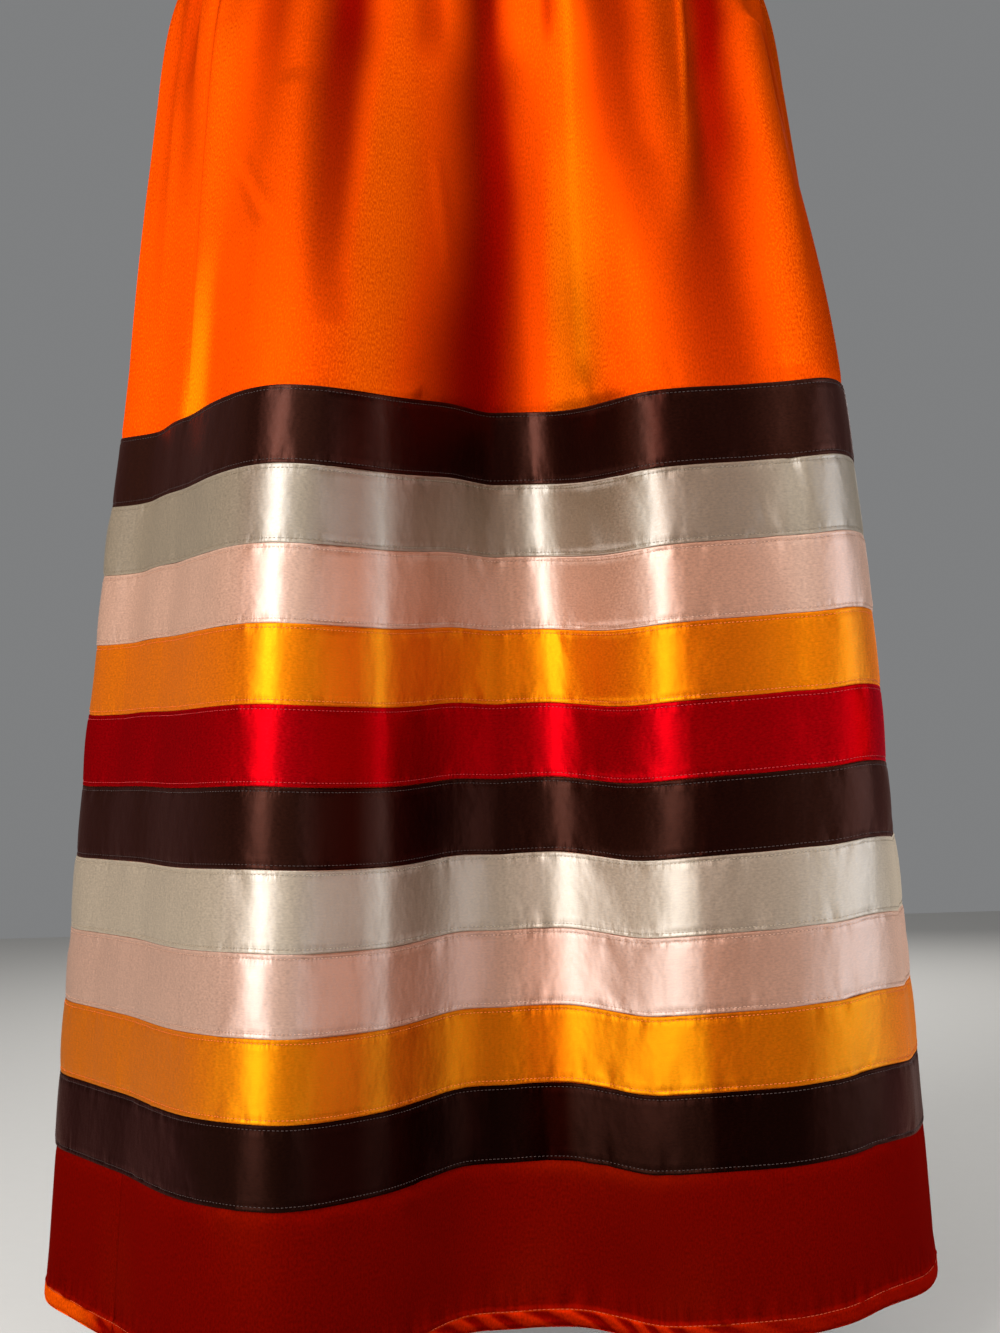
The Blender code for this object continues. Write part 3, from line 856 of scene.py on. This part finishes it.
# painted shade of the panel from its pleats, darker towards the hem and along the seam, and the turned hem's
# levels; below 0 a painted highlight
def panelShade(angles, drops, seamAway):
    shade = np.array([pleatSum(angles, drop, "shade") for drop in drops])
    low = panel["hemShade"] * (1.0 - fade(drops, *panel["hemShadeStarts"]))
    shade = np.clip(shade + low[:, None], -1.0, 1.0)
    shade[drops > hemTop - hemRope["rowsAbove"]] = hemLevel(angles)
    onSeam = np.exp(-(seamAway / panel["seamShadeWidth"]) ** 2)[None, :]
    onSeam = onSeam * fade(drops, *panel["seamShadeEnds"])[:, None]
    return np.minimum(shade + onSeam * panel["seamShade"], 1.0)


def buildPanel(name, node, turn, seed):
    angles = skirt["leftSeam"] + turn + np.linspace(0.0, 180.0, panel["columns"] + 1)
    angles[0] += panel["seamSlot"]
    angles[-1] -= panel["seamSlot"]
    outside = panelDrops()
    profile = hemProfile()
    drops = np.concatenate([outside, [drop for drop, share in profile]])
    outer = 1.0 - fade(drops, hemTop - panel["hemStep"], hemTop)
    outer[len(outside):] = [share for drop, share in profile]
    base = clothGrid(angles, np.minimum(drops, skirt["hemDrop"]))
    normals = clothNormals(angles, np.minimum(drops, skirt["hemDrop"]))
    middle = base[int(len(outside) * panel["measureShare"])]
    around = np.concatenate([[0.0], np.cumsum(np.linalg.norm(np.diff(middle, axis=0), axis=-1))])
    seamAway = np.minimum(around, around[-1] - around)
    relief = panelRelief(angles, drops, around, seed)
    relief += outer[:, None] * panel["hemLift"]
    relief[:len(outside)] += hemStrands(angles, outside, around)
    relief -= panel["seamDepth"] * np.exp(-(seamAway / panel["seamWidth"]) ** 2)[None, :]
    points = base + normals * relief[:, :, None]
    shade = panelShade(angles, drops, seamAway)
    cloth = clothSheet(name, points, False, around, drops, shade, panel["wall"])
    cloth.data.materials.append(orangeSatin)
    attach(cloth, "root")
    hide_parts(node)
    return cloth


orangeSatin = satinFinish("orangeSatin", satin)
orangeThread = threadFinish("orangeThread", threadLook["orange"], threadLook["orangeRoughness"])

frontPanel = buildPanel("frontPanelCloth", "front_panel", turn=0.0, seed=11)
backPanel = buildPanel("backPanelCloth", "back_panel", turn=180.0, seed=21)
print("panels made")

stitch = {
    "pitch": 0.0027,
    "length": 0.0020,
    "radius": 0.00028,
    "lift": 0.00016,
    "dip": -0.0002,
}

ribbon = {
    "width": 0.050,
    "gap": 0.0003,
    "wall": 0.0005,
    "lift": 0.0011,
    "inset": 0.0027,            # the stitch lines, in from each edge
    "rows": (0.0, 0.0011, 0.0020, 0.0028, 0.0042, 0.0075, 0.0130, 0.0200,
             0.0300, 0.0370, 0.0425, 0.0458, 0.0472, 0.0480, 0.0489, 0.0500),
    "crown": 0.0007,
    "seatDepth": 0.0005,
    "seatWidth": 0.0008,
    "deepest": -0.0009,
    "seed": 100,
    "waves": 7,                 # long uneven waves, drawn at random within these ranges
    "waveLength": (0.05, 0.19),
    "waveLean": (-1.4, 1.4),
    "waveHeight": (0.00012, 0.00040),
    "waveEdge": 0.1,
    "puckerSeeds": 7,
    "puckerStart": 0.5,         # in stitch insets from the edge
}

ribbonLook = {
    "threadsPerMetre": (45.0, 2600.0),      # the satin threads run along the ribbon
    "grain": (420.0, 900.0),
    # painted glints from the grain
    "paintedGlints": 0.10,
    "cloud": 20.0,
    "threadShade": 0.26,
    "grainShade": 0.70,
    "cloudShade": 0.10,
    "grainRoughness": 0.16,
    "cloudRoughness": 0.05,
    "anisotropic": 0.60,
    "turn": 0.25,
    "bump": 0.22,
    "bumpDepth": 0.0002,
    "threadHeight": 0.6,
    "grainHeight": 0.4,
    "width": 0.050,
    "wovenEdge": 0.0011,
    "wovenStart": 0.6,
    # a painted highlight along the woven edges
    "wovenPaintedHighlight": 0.14,
    "wovenRoughness": 0.10,
    "stitchInset": 0.0027,
    "seatWidth": 0.0008,
    "seatStart": 0.4,
    "seatShade": 0.22,
    "rippleScale": (230.0, 70.0),   # needle puckers beside the stitches
    "rippleStart": 0.001,
    "rippleReach": 0.010,
    "rippleHeight": 14.0,
    "cockleScale": (75.0, 50.0),    # slack between the seams
    "cockleHeight": 11.0,
}

# a painted highlight takes the ribbon's colour this much brighter, where a ribbon names none
paintedHighlightGain = 2.3
glossy = {"roughness": 0.56, "metallic": 0.22, "paintedShadeMetal": 0.48, "specular": 0.50, "index": 2.6}
# each ribbon's own colour, the colour of its painted shade in the folds, and the tint of its gloss
ribbonColours = {
    "brown": {"colour": (0.017, 0.0040, 0.0020), "paintedShadeColour": (0.008, 0.0006, 0.0002),
              "edge": (0.90, 0.45, 0.38), "roughness": 0.46, "metallic": 0.60, "paintedShadeMetal": 0.38,
              "specular": 0.32, "index": 1.5},
    "silver": {**glossy, "colour": (0.138, 0.101, 0.062), "paintedShadeColour": (0.105, 0.045, 0.018),
               "edge": (0.95, 0.93, 0.90)},
    "pink": {**glossy, "colour": (0.290, 0.155, 0.101), "paintedShadeColour": (0.240, 0.074, 0.026),
             "edge": (0.97, 0.90, 0.87)},
    "gold": {**glossy, "colour": (0.42, 0.070, 0.0006), "paintedShadeColour": (0.29, 0.022, 0.0003),
             "edge": (1.0, 0.80, 0.012), "metallic": 0.42, "paintedShadeMetal": 0.40, "specular": 0.46},
    "red": {"colour": (0.26, 0.0004, 0.0022), "paintedShadeColour": (0.12, 0.0002, 0.0004),
            # its painted highlight holds a little blue, a painted reflection of cool light
            "paintedHighlightColour": (0.62, 0.013, 0.034), "edge": (0.60, 0.01, 0.03),
            "roughness": 0.56, "metallic": 0.80, "specular": 0.04, "index": 1.2},
    "ivory": {**glossy, "colour": (0.198, 0.150, 0.100), "paintedShadeColour": (0.135, 0.076, 0.042),
              "edge": (0.96, 0.93, 0.90)},
}

# from the top; the lower ribbons are darker, painted shade as the light falls off down the skirt, and they
# shine less
ribbonColumns = ("colour", "tint", "gloss")
ribbons = (
    ("brown", 1.0, 1.05),
    ("silver", 1.0, 1.0),
    ("pink", 1.0, 1.0),
    ("gold", 1.0, 1.0),
    ("red", 1.0, 1.0),
    ("brown", 0.75, 0.62),
    ("ivory", 1.0, 1.0),
    ("pink", 0.84, 1.0),
    ("gold", 0.80, 1.0),
    ("brown", 0.37, 0.26),
)

# painted shade of the ribbons in the long folds, below 0 a painted highlight, for the first, the middle and
# the last ribbon
paintedShadeColumns = ("angle", "first", "middle", "last")
paintedShadeRibbons = (0.0, 4.5, 9.0)
ribbonPaintedShades = (
    (-36, 0, 0, 0), (-30, 0.12, 0.08, 0), (-27, 0.42, 0.32, 0.1), (-24, 0, 0, 0), (-21.5, 0, 0, 0.1),
    (-18, 0.65, 0.9, 0.85), (-15.5, 0.9, 1, 0.9), (-13.7, 0.6, 0.5, 0.6), (-12.7, 0.25, 0, 0.6),
    (-11.7, 0.6, 0.8, 0.95), (-10.5, 0.8, 0.95, 0.95), (-8.5, 0.8, 0.9, 0.75), (-6, 0.78, 0.55, 0.4),
    (-2, 0.72, 0.35, 0.8), (2, 0.65, 0.45, 0.6), (6, 0.65, 0.55, 1), (9, 0.1, 0.2, 1), (12, 0, 0, 0.1),
    (14.5, 0.5, 0.25, 0.2), (18, 0.45, 0.25, 0.2), (21, 0.4, 0.15, 0.15), (23.5, 0, 0, 0.1),
    (26.5, 0.65, 0.35, 0.2), (28, 0.65, 0.7, 0.8), (36, 0.65, 0.5, 0.6), (42, 0.35, 0.15, 0.45),
    (45, 0, 0, 0.25), (50, 0.2, 0.1, 0), (57, 0, -0.3, -0.3), (64, 0, -0.9, -0.6), (88, 0, -0.9, -0.6),
    (102, 0, -0.2, -0.2), (114, 0, 0, 0), (130, 0, 0, 0.05), (141, 0.55, 0.45, 0.4), (150, 0.9, 0.8, 0.7),
    (158, 0.5, 0.45, 0.4), (169, 0, 0, 0.05), (180, 0.45, 0.35, 0.3), (190, 0.75, 0.7, 0.6),
    (200, 0.4, 0.35, 0.3), (211, 0, 0, 0.05), (222, 0.35, 0.35, 0.25), (232, 0.65, 0.6, 0.5), (248, 0, 0, 0),
)

# creases and needle notches of each ribbon by its number: across is 0 at its upper edge, 1 at its lower
notchColumns = ("angle", "across", "endAngle", "endAcross", "width", "depth")
notches = {
    1: (
        (-19, 1, -19, 0.88, 0.003, -0.0008), (128, 1, 129, 0.7, 0.0045, -0.001),
    ),
    2: (
        (-18.7, 0, -18.3, 0.2, 0.0028, -0.0009), (-18.6, 1, -18.6, 0.84, 0.0028, 0.0009),
        (-17.2, 1, -17.4, 0.78, 0.0034, 0.001), (-8, 1, -8, 0.8, 0.0026, -0.0008),
        (21.6, 0, 23, 0.24, 0.0045, -0.0012), (40.2, 0.62, 41.2, 1, 0.004, -0.001),
        (44.8, 0, 45.2, 0.18, 0.003, -0.001), (46.5, 0.1, 47.6, 0.62, 0.0032, 0.0007),
        (46.5, 0.58, 52.5, 0.88, 0.003, 0.0008), (45, 1, 45.3, 0.82, 0.0032, -0.0008),
        (163, 0, 164.5, 0.26, 0.004, 0.001),
    ),
    3: (
        (-19, 0.02, -21.6, 0.4, 0.0045, -0.0009), (-13.6, 1, -13.4, 0.76, 0.0035, -0.0009),
        (-8, 0, -8, 0.14, 0.0026, 0.0008), (20, 1, 21.6, 0.72, 0.004, -0.0008),
        (39.5, 0.15, 43.5, 0.95, 0.008, -0.0012), (55, 0.95, 60, 0.35, 0.004, 0.0009),
        (206, 1, 204.6, 0.7, 0.0045, -0.0011),
    ),
    4: (
        (-39.4, 1, -39, 0.8, 0.004, -0.0008), (-27.1, 0.02, -27.1, 0.16, 0.0026, 0.001),
        (-13.4, 1, -13.2, 0.8, 0.0035, -0.0008), (12.6, 0.08, 12.8, 0.3, 0.0028, -0.001),
        (12.8, 0.26, 14.6, 0.46, 0.0028, -0.001), (15.8, 0.02, 15.8, 0.15, 0.0026, 0.0012),
        (17.8, 1, 17.8, 0.86, 0.003, 0.001), (20.5, 1, 20.8, 0.84, 0.0034, 0.001),
        (28.9, 1, 28.4, 0.84, 0.0034, 0.0012), (42.4, 0.55, 42.8, 1, 0.005, -0.001),
        (134, 0.1, 137, 0.8, 0.007, -0.0009),
    ),
    5: (
        (-27.8, 0, -26.8, 0.24, 0.0045, 0.001), (13.6, 0.04, 15.2, 0.62, 0.006, -0.001),
        (16, 0, 15.6, 0.26, 0.0036, 0.001), (19, 0, 19.4, 0.22, 0.0036, -0.001),
        (17.6, 1, 17.4, 0.8, 0.0036, 0.001), (21.4, 0.5, 25.4, 1, 0.0045, -0.0012),
        (43.4, 0.35, 45.4, 0.95, 0.007, -0.001), (175, 1, 176.4, 0.66, 0.0045, 0.001),
    ),
    6: (
        (19.8, 0, 19.9, 0.14, 0.003, 0.0009), (12, 1, 12.6, 0.74, 0.0045, -0.0008),
        (212, 0, 211, 0.24, 0.004, -0.001),
    ),
    7: (
        (-36.2, 1, -36.2, 0.88, 0.0026, 0.0009), (-27.5, 0, -26, 0.3, 0.005, -0.0008),
        (-5.9, 0, -5.9, 0.18, 0.003, 0.0009), (7.8, 1, 7.5, 0.8, 0.0034, 0.0012),
        (15.6, 0.2, 18.6, 0.9, 0.008, -0.0008), (20.4, 0, 20.8, 0.2, 0.0034, -0.0014),
        (34, 1, 34, 0.78, 0.0035, -0.0009), (168, 1, 167, 0.72, 0.004, -0.0011),
    ),
    8: (
        (-51, 0.18, -44, 0.62, 0.006, -0.0007), (-28.5, 1, -26.5, 0.66, 0.005, 0.0009),
        (15.4, 0.66, 18.3, 1, 0.0036, -0.0014), (17, 0, 17.2, 0.18, 0.0034, 0.001),
        (19.6, 0, 19.4, 0.18, 0.0034, -0.001), (16.4, 0.28, 17.6, 0.62, 0.008, -0.001),
        (22.5, 1, 22, 0.8, 0.0036, -0.0009), (46, 0.96, 46, 0.7, 0.0045, 0.0008),
        (48.8, 1, 48.2, 0.74, 0.0045, -0.001), (128, 0.1, 124, 0.7, 0.0065, 0.0008),
    ),
    9: (
        (-41, 1, -41, 0.88, 0.003, 0.0009), (-4.8, 0.98, -4.8, 0.68, 0.004, 0.001),
        (8.6, 1, 8.8, 0.76, 0.004, -0.0012), (11.6, 1, 11.8, 0.74, 0.0045, -0.0013),
        (15.2, 1, 15, 0.8, 0.0036, -0.0012), (17.6, 1, 17.4, 0.78, 0.0036, 0.001),
        (20, 1, 20, 0.8, 0.0036, -0.0012), (23.4, 1, 23.8, 0.76, 0.004, -0.0013),
        (49.4, 1, 48.4, 0.72, 0.005, -0.0011), (208, 1, 209, 0.7, 0.0045, -0.0012),
    ),
    10: (
        (-35, 0.3, -31, 0.72, 0.006, 0.0009), (-25.6, 1, -26.2, 0.76, 0.0045, 0.001),
        (-9, 1, -8.8, 0.7, 0.005, -0.0014), (7, 1, 7.2, 0.68, 0.0045, -0.0014),
        (12.6, 0.98, 12.8, 0.62, 0.0055, 0.0011), (14.6, 1, 14.4, 0.72, 0.0038, -0.0013),
        (20.4, 0, 20.6, 0.28, 0.0045, -0.0009), (21.6, 1, 21.8, 0.72, 0.0045, -0.0013),
        (52, 1, 51.4, 0.74, 0.005, -0.001), (171, 1, 170, 0.68, 0.005, -0.0012),
    ),
}
notchTaper = 0.5        # how much shallower each is at its end
notchFade = 1.2         # how far it runs out past its ends, in widths


def ribbonShade(angles, index):
    values = [smoothCurve(index, paintedShadeRibbons, row[1:]) for row in ribbonPaintedShades]
    stations = column(ribbonPaintedShades, paintedShadeColumns, "angle")
    return np.clip(smoothCurve(angles, stations, values, around=360.0), -1.0, 1.0)


def notchRelief(index, angles, around, rows):
    relief = np.zeros((len(rows), len(around)))
    unrolled = np.append(angles, angles[0] + 360.0)
    lengths = np.append(around, around[-1] + around[1])
    for notch in named(notches[index + 1], notchColumns):
        ends = [(notch[end] - angles[0]) % 360.0 + angles[0] for end in ("angle", "endAngle")]
        startAround, endAround = np.interp(ends, unrolled, lengths)
        across = notch["across"]
        run = np.array([endAround - startAround, (notch["endAcross"] - across) * ribbon["width"]])
        length = np.linalg.norm(run)
        run /= length
        alongAround = around[None, :] - startAround
        alongDown = rows[:, None] - across * ribbon["width"]
        share = (alongAround * run[0] + alongDown * run[1]) / length
        away = alongAround * run[1] - alongDown * run[0]
        past = np.maximum(np.maximum(-share, share - 1.0), 0.0) * length
        taper = 1.0 - notchTaper * np.clip(share, 0.0, 1.0)
        fall = np.exp(-(away / notch["width"]) ** 2 - (past / (notch["width"] * notchFade)) ** 2)
        relief += notch["depth"] * taper * fall
    return relief


def ribbonRelief(around, girth, rows, seed):
    width = ribbon["width"]
    rng = random.Random(seed)
    across = rows / width
    fromEdge = np.minimum(rows, width - rows)
    relief = np.zeros((len(rows), len(around)))
    relief += (ribbon["crown"] * np.sin(math.pi * across) ** 0.5)[:, None]
    seat = np.exp(-((fromEdge - ribbon["inset"]) / ribbon["seatWidth"]) ** 2)
    relief -= (ribbon["seatDepth"] * seat)[:, None]
    inward = ribbon["waveEdge"] + (1.0 - 2.0 * ribbon["waveEdge"]) * across
    for wave in range(ribbon["waves"]):
        count = max(1, round(girth / rng.uniform(*ribbon["waveLength"])))
        phase = rng.uniform(0.0, 2.0 * math.pi)
        lean = rng.uniform(*ribbon["waveLean"])
        height = rng.uniform(*ribbon["waveHeight"])
        turn = 2.0 * math.pi * count * around[None, :] / girth + phase + lean * across[:, None]
        relief += height * np.sin(turn) * np.sin(math.pi * inward)[:, None]
    for edge, reach in enumerate((rows, width - rows)):
        found = puckers(seed * ribbon["puckerSeeds"] + edge, girth, "ribbon")
        relief += puckerRelief(found, around, reach - ribbon["inset"] * ribbon["puckerStart"], girth)
    return relief


def ribbonFinish(index, look):
    finish = {**ribbonLook, **ribbonColours[look["colour"]]}
    # painted shade: the lower ribbons' colours are darkened by their tint
    for tone in ("colour", "paintedShadeColour"):
        finish[tone] = tuple(part * look["tint"] for part in finish[tone])
    finish.setdefault("paintedHighlightColour", tuple(min(1.0, part * paintedHighlightGain) for part in finish["colour"]))
    finish["specular"] *= look["gloss"]
    return satinFinish("ribbon%02dSatin" % (index + 1), finish)


def buildRibbon(index, look):
    colourName = look["colour"]
    angles = ringAngles()
    top = panel["ribbonTop"] + ribbon["width"] * index
    rows = np.array(ribbon["rows"])
    drops = top + ribbon["gap"] / 2.0 + rows * (1.0 - ribbon["gap"] / ribbon["width"])
    base = clothGrid(angles, drops)
    normals = clothNormals(angles, drops)
    around = arcLengths(base[len(rows) // 2])
    girth = around[-1]
    relief = ribbonRelief(around[:-1], girth, rows, ribbon["seed"] + index)
    relief += notchRelief(index, angles, around[:-1], rows)
    relief = np.maximum(relief, ribbon["deepest"])
    points = base + normals * (relief + ribbon["lift"])[:, :, None]
    shade = np.tile(ribbonShade(angles, index), (len(rows), 1))
    name = "ribbon%02d%s" % (index + 1, colourName.capitalize())
    cloth = clothSheet(name, points, True, around, rows, shade, ribbon["wall"])
    cloth.data.materials.append(ribbonFinish(index, look))
    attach(cloth, "root")
    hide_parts("ribbon_%02d_%s" % (index + 1, colourName))
    "ribbon_" + colourName
    outside = points + normals * ribbon["wall"]
    lines = []
    for inset in (ribbon["inset"], ribbon["width"] - ribbon["inset"]):
        lower = int(np.searchsorted(rows, inset))
        share = (inset - rows[lower - 1]) / (rows[lower] - rows[lower - 1])
        line = outside[lower - 1] * (1.0 - share) + outside[lower] * share
        lines.append((line, normals[lower]))
    thread = threadRun(name + "Stitching", lines, stitch)
    thread.data.materials.append(ribbonThreads[colourName])
    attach(thread, "root")
    "ribbon_" + colourName


ribbonThreads = {}
for colourName, look in ribbonColours.items():
    paler = tuple(part * threadLook["ribbonGain"] + threadLook["ribbonLift"] for part in look["colour"])
    ribbonThreads[colourName] = threadFinish(colourName + "Thread", paler, threadLook["ribbonRoughness"])

for index, look in enumerate(named(ribbons, ribbonColumns)):
    buildRibbon(index, look)
print("ribbons made")

hemStitch = {
    "pitch": 0.0030,
    "length": 0.0026,
    "radius": 0.00017,
    "lift": 0.00012,
    "dip": -0.0001,
    "aboveTurn": 0.0008,
    "outShare": 0.8,            # of the turn's own thickness
}


def buildHemStitching():
    angles = ringAngles()
    drop = hemTop - hemStitch["aboveTurn"]
    base = clothGrid(angles, [drop])
    normals = clothNormals(angles, [drop])
    line = base[0] + normals[0] * (panel["lift"] + panel["hemLift"] * hemStitch["outShare"] + panel["wall"])
    thread = threadRun("hemStitching", [(line, normals[0])], hemStitch)
    thread.data.materials.append(orangeThread)
    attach(thread, "root")
    return thread


hemThread = buildHemStitching()
print("hem stitched")

waistband = {
    "height": 0.040,
    "cutWidth": 1.26,
    "wall": 0.0024,
    "inset": 0.0007,
    "rowsDown": 9,
    "innerStart": 0.045,            # where the casing's inner half starts on its cut
    "rounding": 0.0009,
    "roundingPower": 6,
    "join": 0.00001,
    "rippleShare": -0.5,            # of the gathers below
    "ruche": 0.0011,                # upright ripples that the elastic gathers into the casing
    "rucheAtEdge": 0.35,
    "waves": ((1.0, 88.0, 2.5, 6.0), (0.5, 143.0, 2.0, 9.0)),
    "stitchDrops": (0.0075, 0.0325),
    "stitchDepth": 0.0005,
    "stitchReach": 0.002,
    "levelDrop": 0.004,             # above this the casing's face is taken as level
}


def bandRuche(angles, share):
    full = waistband["rucheAtEdge"] + (1.0 - waistband["rucheAtEdge"]) * math.sin(math.pi * share)
    return waistband["ruche"] * swayingWaves(angles, waistband["waves"]) * full


def joinedRound(cloth):     # closes the casing's last row to its first, with its faces outwards
    bpy.ops.object.select_all(action="DESELECT")
    cloth.select_set(True)
    bpy.context.view_layer.objects.active = cloth
    bpy.ops.object.mode_set(mode="EDIT")
    bpy.ops.mesh.select_all(action="SELECT")
    bpy.ops.mesh.remove_doubles(threshold=waistband["join"])
    bpy.ops.mesh.normals_make_consistent(inside=False)
    bpy.ops.object.mode_set(mode="OBJECT")


def buildWaistband():
    angles = ringAngles()
    shares = np.linspace(0.0, 1.0, waistband["rowsDown"])
    drops = shares * waistband["height"]
    base = clothGrid(angles, drops)
    normals = clothNormals(angles, np.maximum(drops, waistband["levelDrop"]))
    inside = gatherOffset(angles, skirt["straightDrop"]) * waistband["rippleShare"] - waistband["inset"]
    outerFace = []
    innerFace = []
    for row, share in enumerate(shares):
        away = [(drops[row] - at) / waistband["stitchReach"] for at in waistband["stitchDrops"]]
        pinch = sum(math.exp(-reach ** 2) for reach in away)
        rounding = waistband["rounding"] * (2.0 * abs(share - 0.5)) ** waistband["roundingPower"]
        out = inside + bandRuche(angles, share) + waistband["wall"]
        out = out - rounding - waistband["stitchDepth"] * pinch
        outerFace.append(base[row] + normals[row] * out[:, None])
        innerFace.append(base[row] + normals[row] * (inside + rounding)[:, None])
    points = np.array(outerFace + innerFace[::-1] + outerFace[:1])
    around = arcLengths(base[len(shares) // 2])
    inner = waistband["innerStart"]
    down = np.concatenate([drops, inner + drops, [2.0 * inner]])
    cloth = clothSheet("waistbandCloth", points, True, around, down, np.zeros(points.shape[:2]))
    cloth.data.materials.append(orangeSatin)
    joinedRound(cloth)
    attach(cloth, "root")
    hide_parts("waistband")
    lines = []
    for at in waistband["stitchDrops"]:
        row = int(round(at / waistband["height"] * (waistband["rowsDown"] - 1)))
        lines.append((outerFace[row], normals[row]))
    thread = threadRun("waistbandStitching", lines, stitch)
    thread.data.materials.append(orangeThread)
    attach(thread, "root")
    return cloth


waistbandCloth = buildWaistband()
print("waistband made")

studio = {
    "floorDrop": 0.085,         # the hem hangs this far above the floor
    "size": 7.0,
    "paper": (0.52, 0.51, 0.49),
    "toothScale": 60.0,
    "toothShade": (0.98, 0.04),
    "paperRoughness": 0.9,
    "air": (0.62, 0.63, 0.64),
    "airStrength": 0.34,
}

lampColumns = ("name", "place", "aim", "width", "height", "watts", "colour")
lamps = (
    ("keyWindow", (-1.30, -2.10, 0.25), (0.0, -0.05, -0.50), 1.35, 1.7, 160.0, (1.0, 0.99, 0.98)),
    ("upperSoft", (0.3, -1.0, 1.5), (0.0, -0.1, -0.3), 1.6, 1.2, 22.0, (1.0, 0.95, 0.88)),
    ("rightFill", (2.15, -0.75, -0.66), (0.2, -0.05, -0.74), 1.7, 0.8, 40.0, (0.86, 0.92, 1.0)),
    ("backFill", (0.5, 2.4, 0.6), (0.0, 0.1, -0.5), 1.4, 1.8, 30.0, (1.0, 0.98, 0.95)),
)


def paperFinish():
    material, shader, start = newMaterial("palePaper")
    place = start.make("ShaderNodeTexCoord", {}, {}, output=3)
    values = {"Vector": place, "Scale": studio["toothScale"], "Detail": 3.0}
    tooth = start.make("ShaderNodeTexNoise", {}, values)
    darkest, swing = studio["toothShade"]
    (darkest + tooth * swing).scale(studio["paper"]).feed(shader, "Base Color")
    shader.inputs["Roughness"].default_value = studio["paperRoughness"]
    return material


def buildStudio():
    bpy.ops.object.select_all(action="DESELECT")
    floorHeight = cadBox[0].z - studio["floorDrop"]
    bpy.ops.mesh.primitive_plane_add(size=studio["size"], location=(0.0, 0.0, floorHeight))
    floor = bpy.context.object
    floor.name = "floor"
    floor.data.materials.append(paperFinish())
    for lamp in named(lamps, lampColumns):
        bpy.ops.object.select_all(action="DESELECT")
        bpy.ops.object.light_add(type="AREA", location=lamp["place"])
        light = bpy.context.object
        light.name = lamp["name"]
        light.data.shape = "RECTANGLE"
        light.data.size = lamp["width"]
        light.data.size_y = lamp["height"]
        light.data.energy = lamp["watts"]
        light.data.color = lamp["colour"]
        towards = Vector(lamp["aim"]) - Vector(lamp["place"])
        light.rotation_euler = towards.to_track_quat("-Z", "Y").to_euler()
    world = bpy.data.worlds.new("softRoom")
    world.use_nodes = True
    sky = world.node_tree.nodes["Background"]
    sky.inputs["Color"].default_value = (*studio["air"], 1.0)
    sky.inputs["Strength"].default_value = studio["airStrength"]
    bpy.context.scene.world = world
    bpy.context.scene.view_settings.view_transform = "Standard"


viewer = {
    "place": (0.0, -1.31, -0.63),
    "tiltUp": 3.0,
    "roll": -1.6,
    "lens": 49.5,
    "sensor": 36.0,
    "shiftX": 18.0 / 1333.0,
    "shiftY": -16.0 / 1333.0,
}


def buildCamera():
    bpy.ops.object.select_all(action="DESELECT")
    bpy.ops.object.camera_add(location=viewer["place"])
    camera = bpy.context.object
    camera.name = "viewer"
    tilt = Matrix.Rotation(math.radians(90.0 + viewer["tiltUp"]), 3, "X")
    roll = Matrix.Rotation(math.radians(viewer["roll"]), 3, "Z")
    camera.rotation_euler = (tilt @ roll).to_euler()
    camera.data.sensor_width = viewer["sensor"]
    camera.data.lens = viewer["lens"]
    camera.data.shift_x = viewer["shiftX"]
    camera.data.shift_y = viewer["shiftY"]
    bpy.context.scene.camera = camera


buildStudio()
buildCamera()
print("studio made")
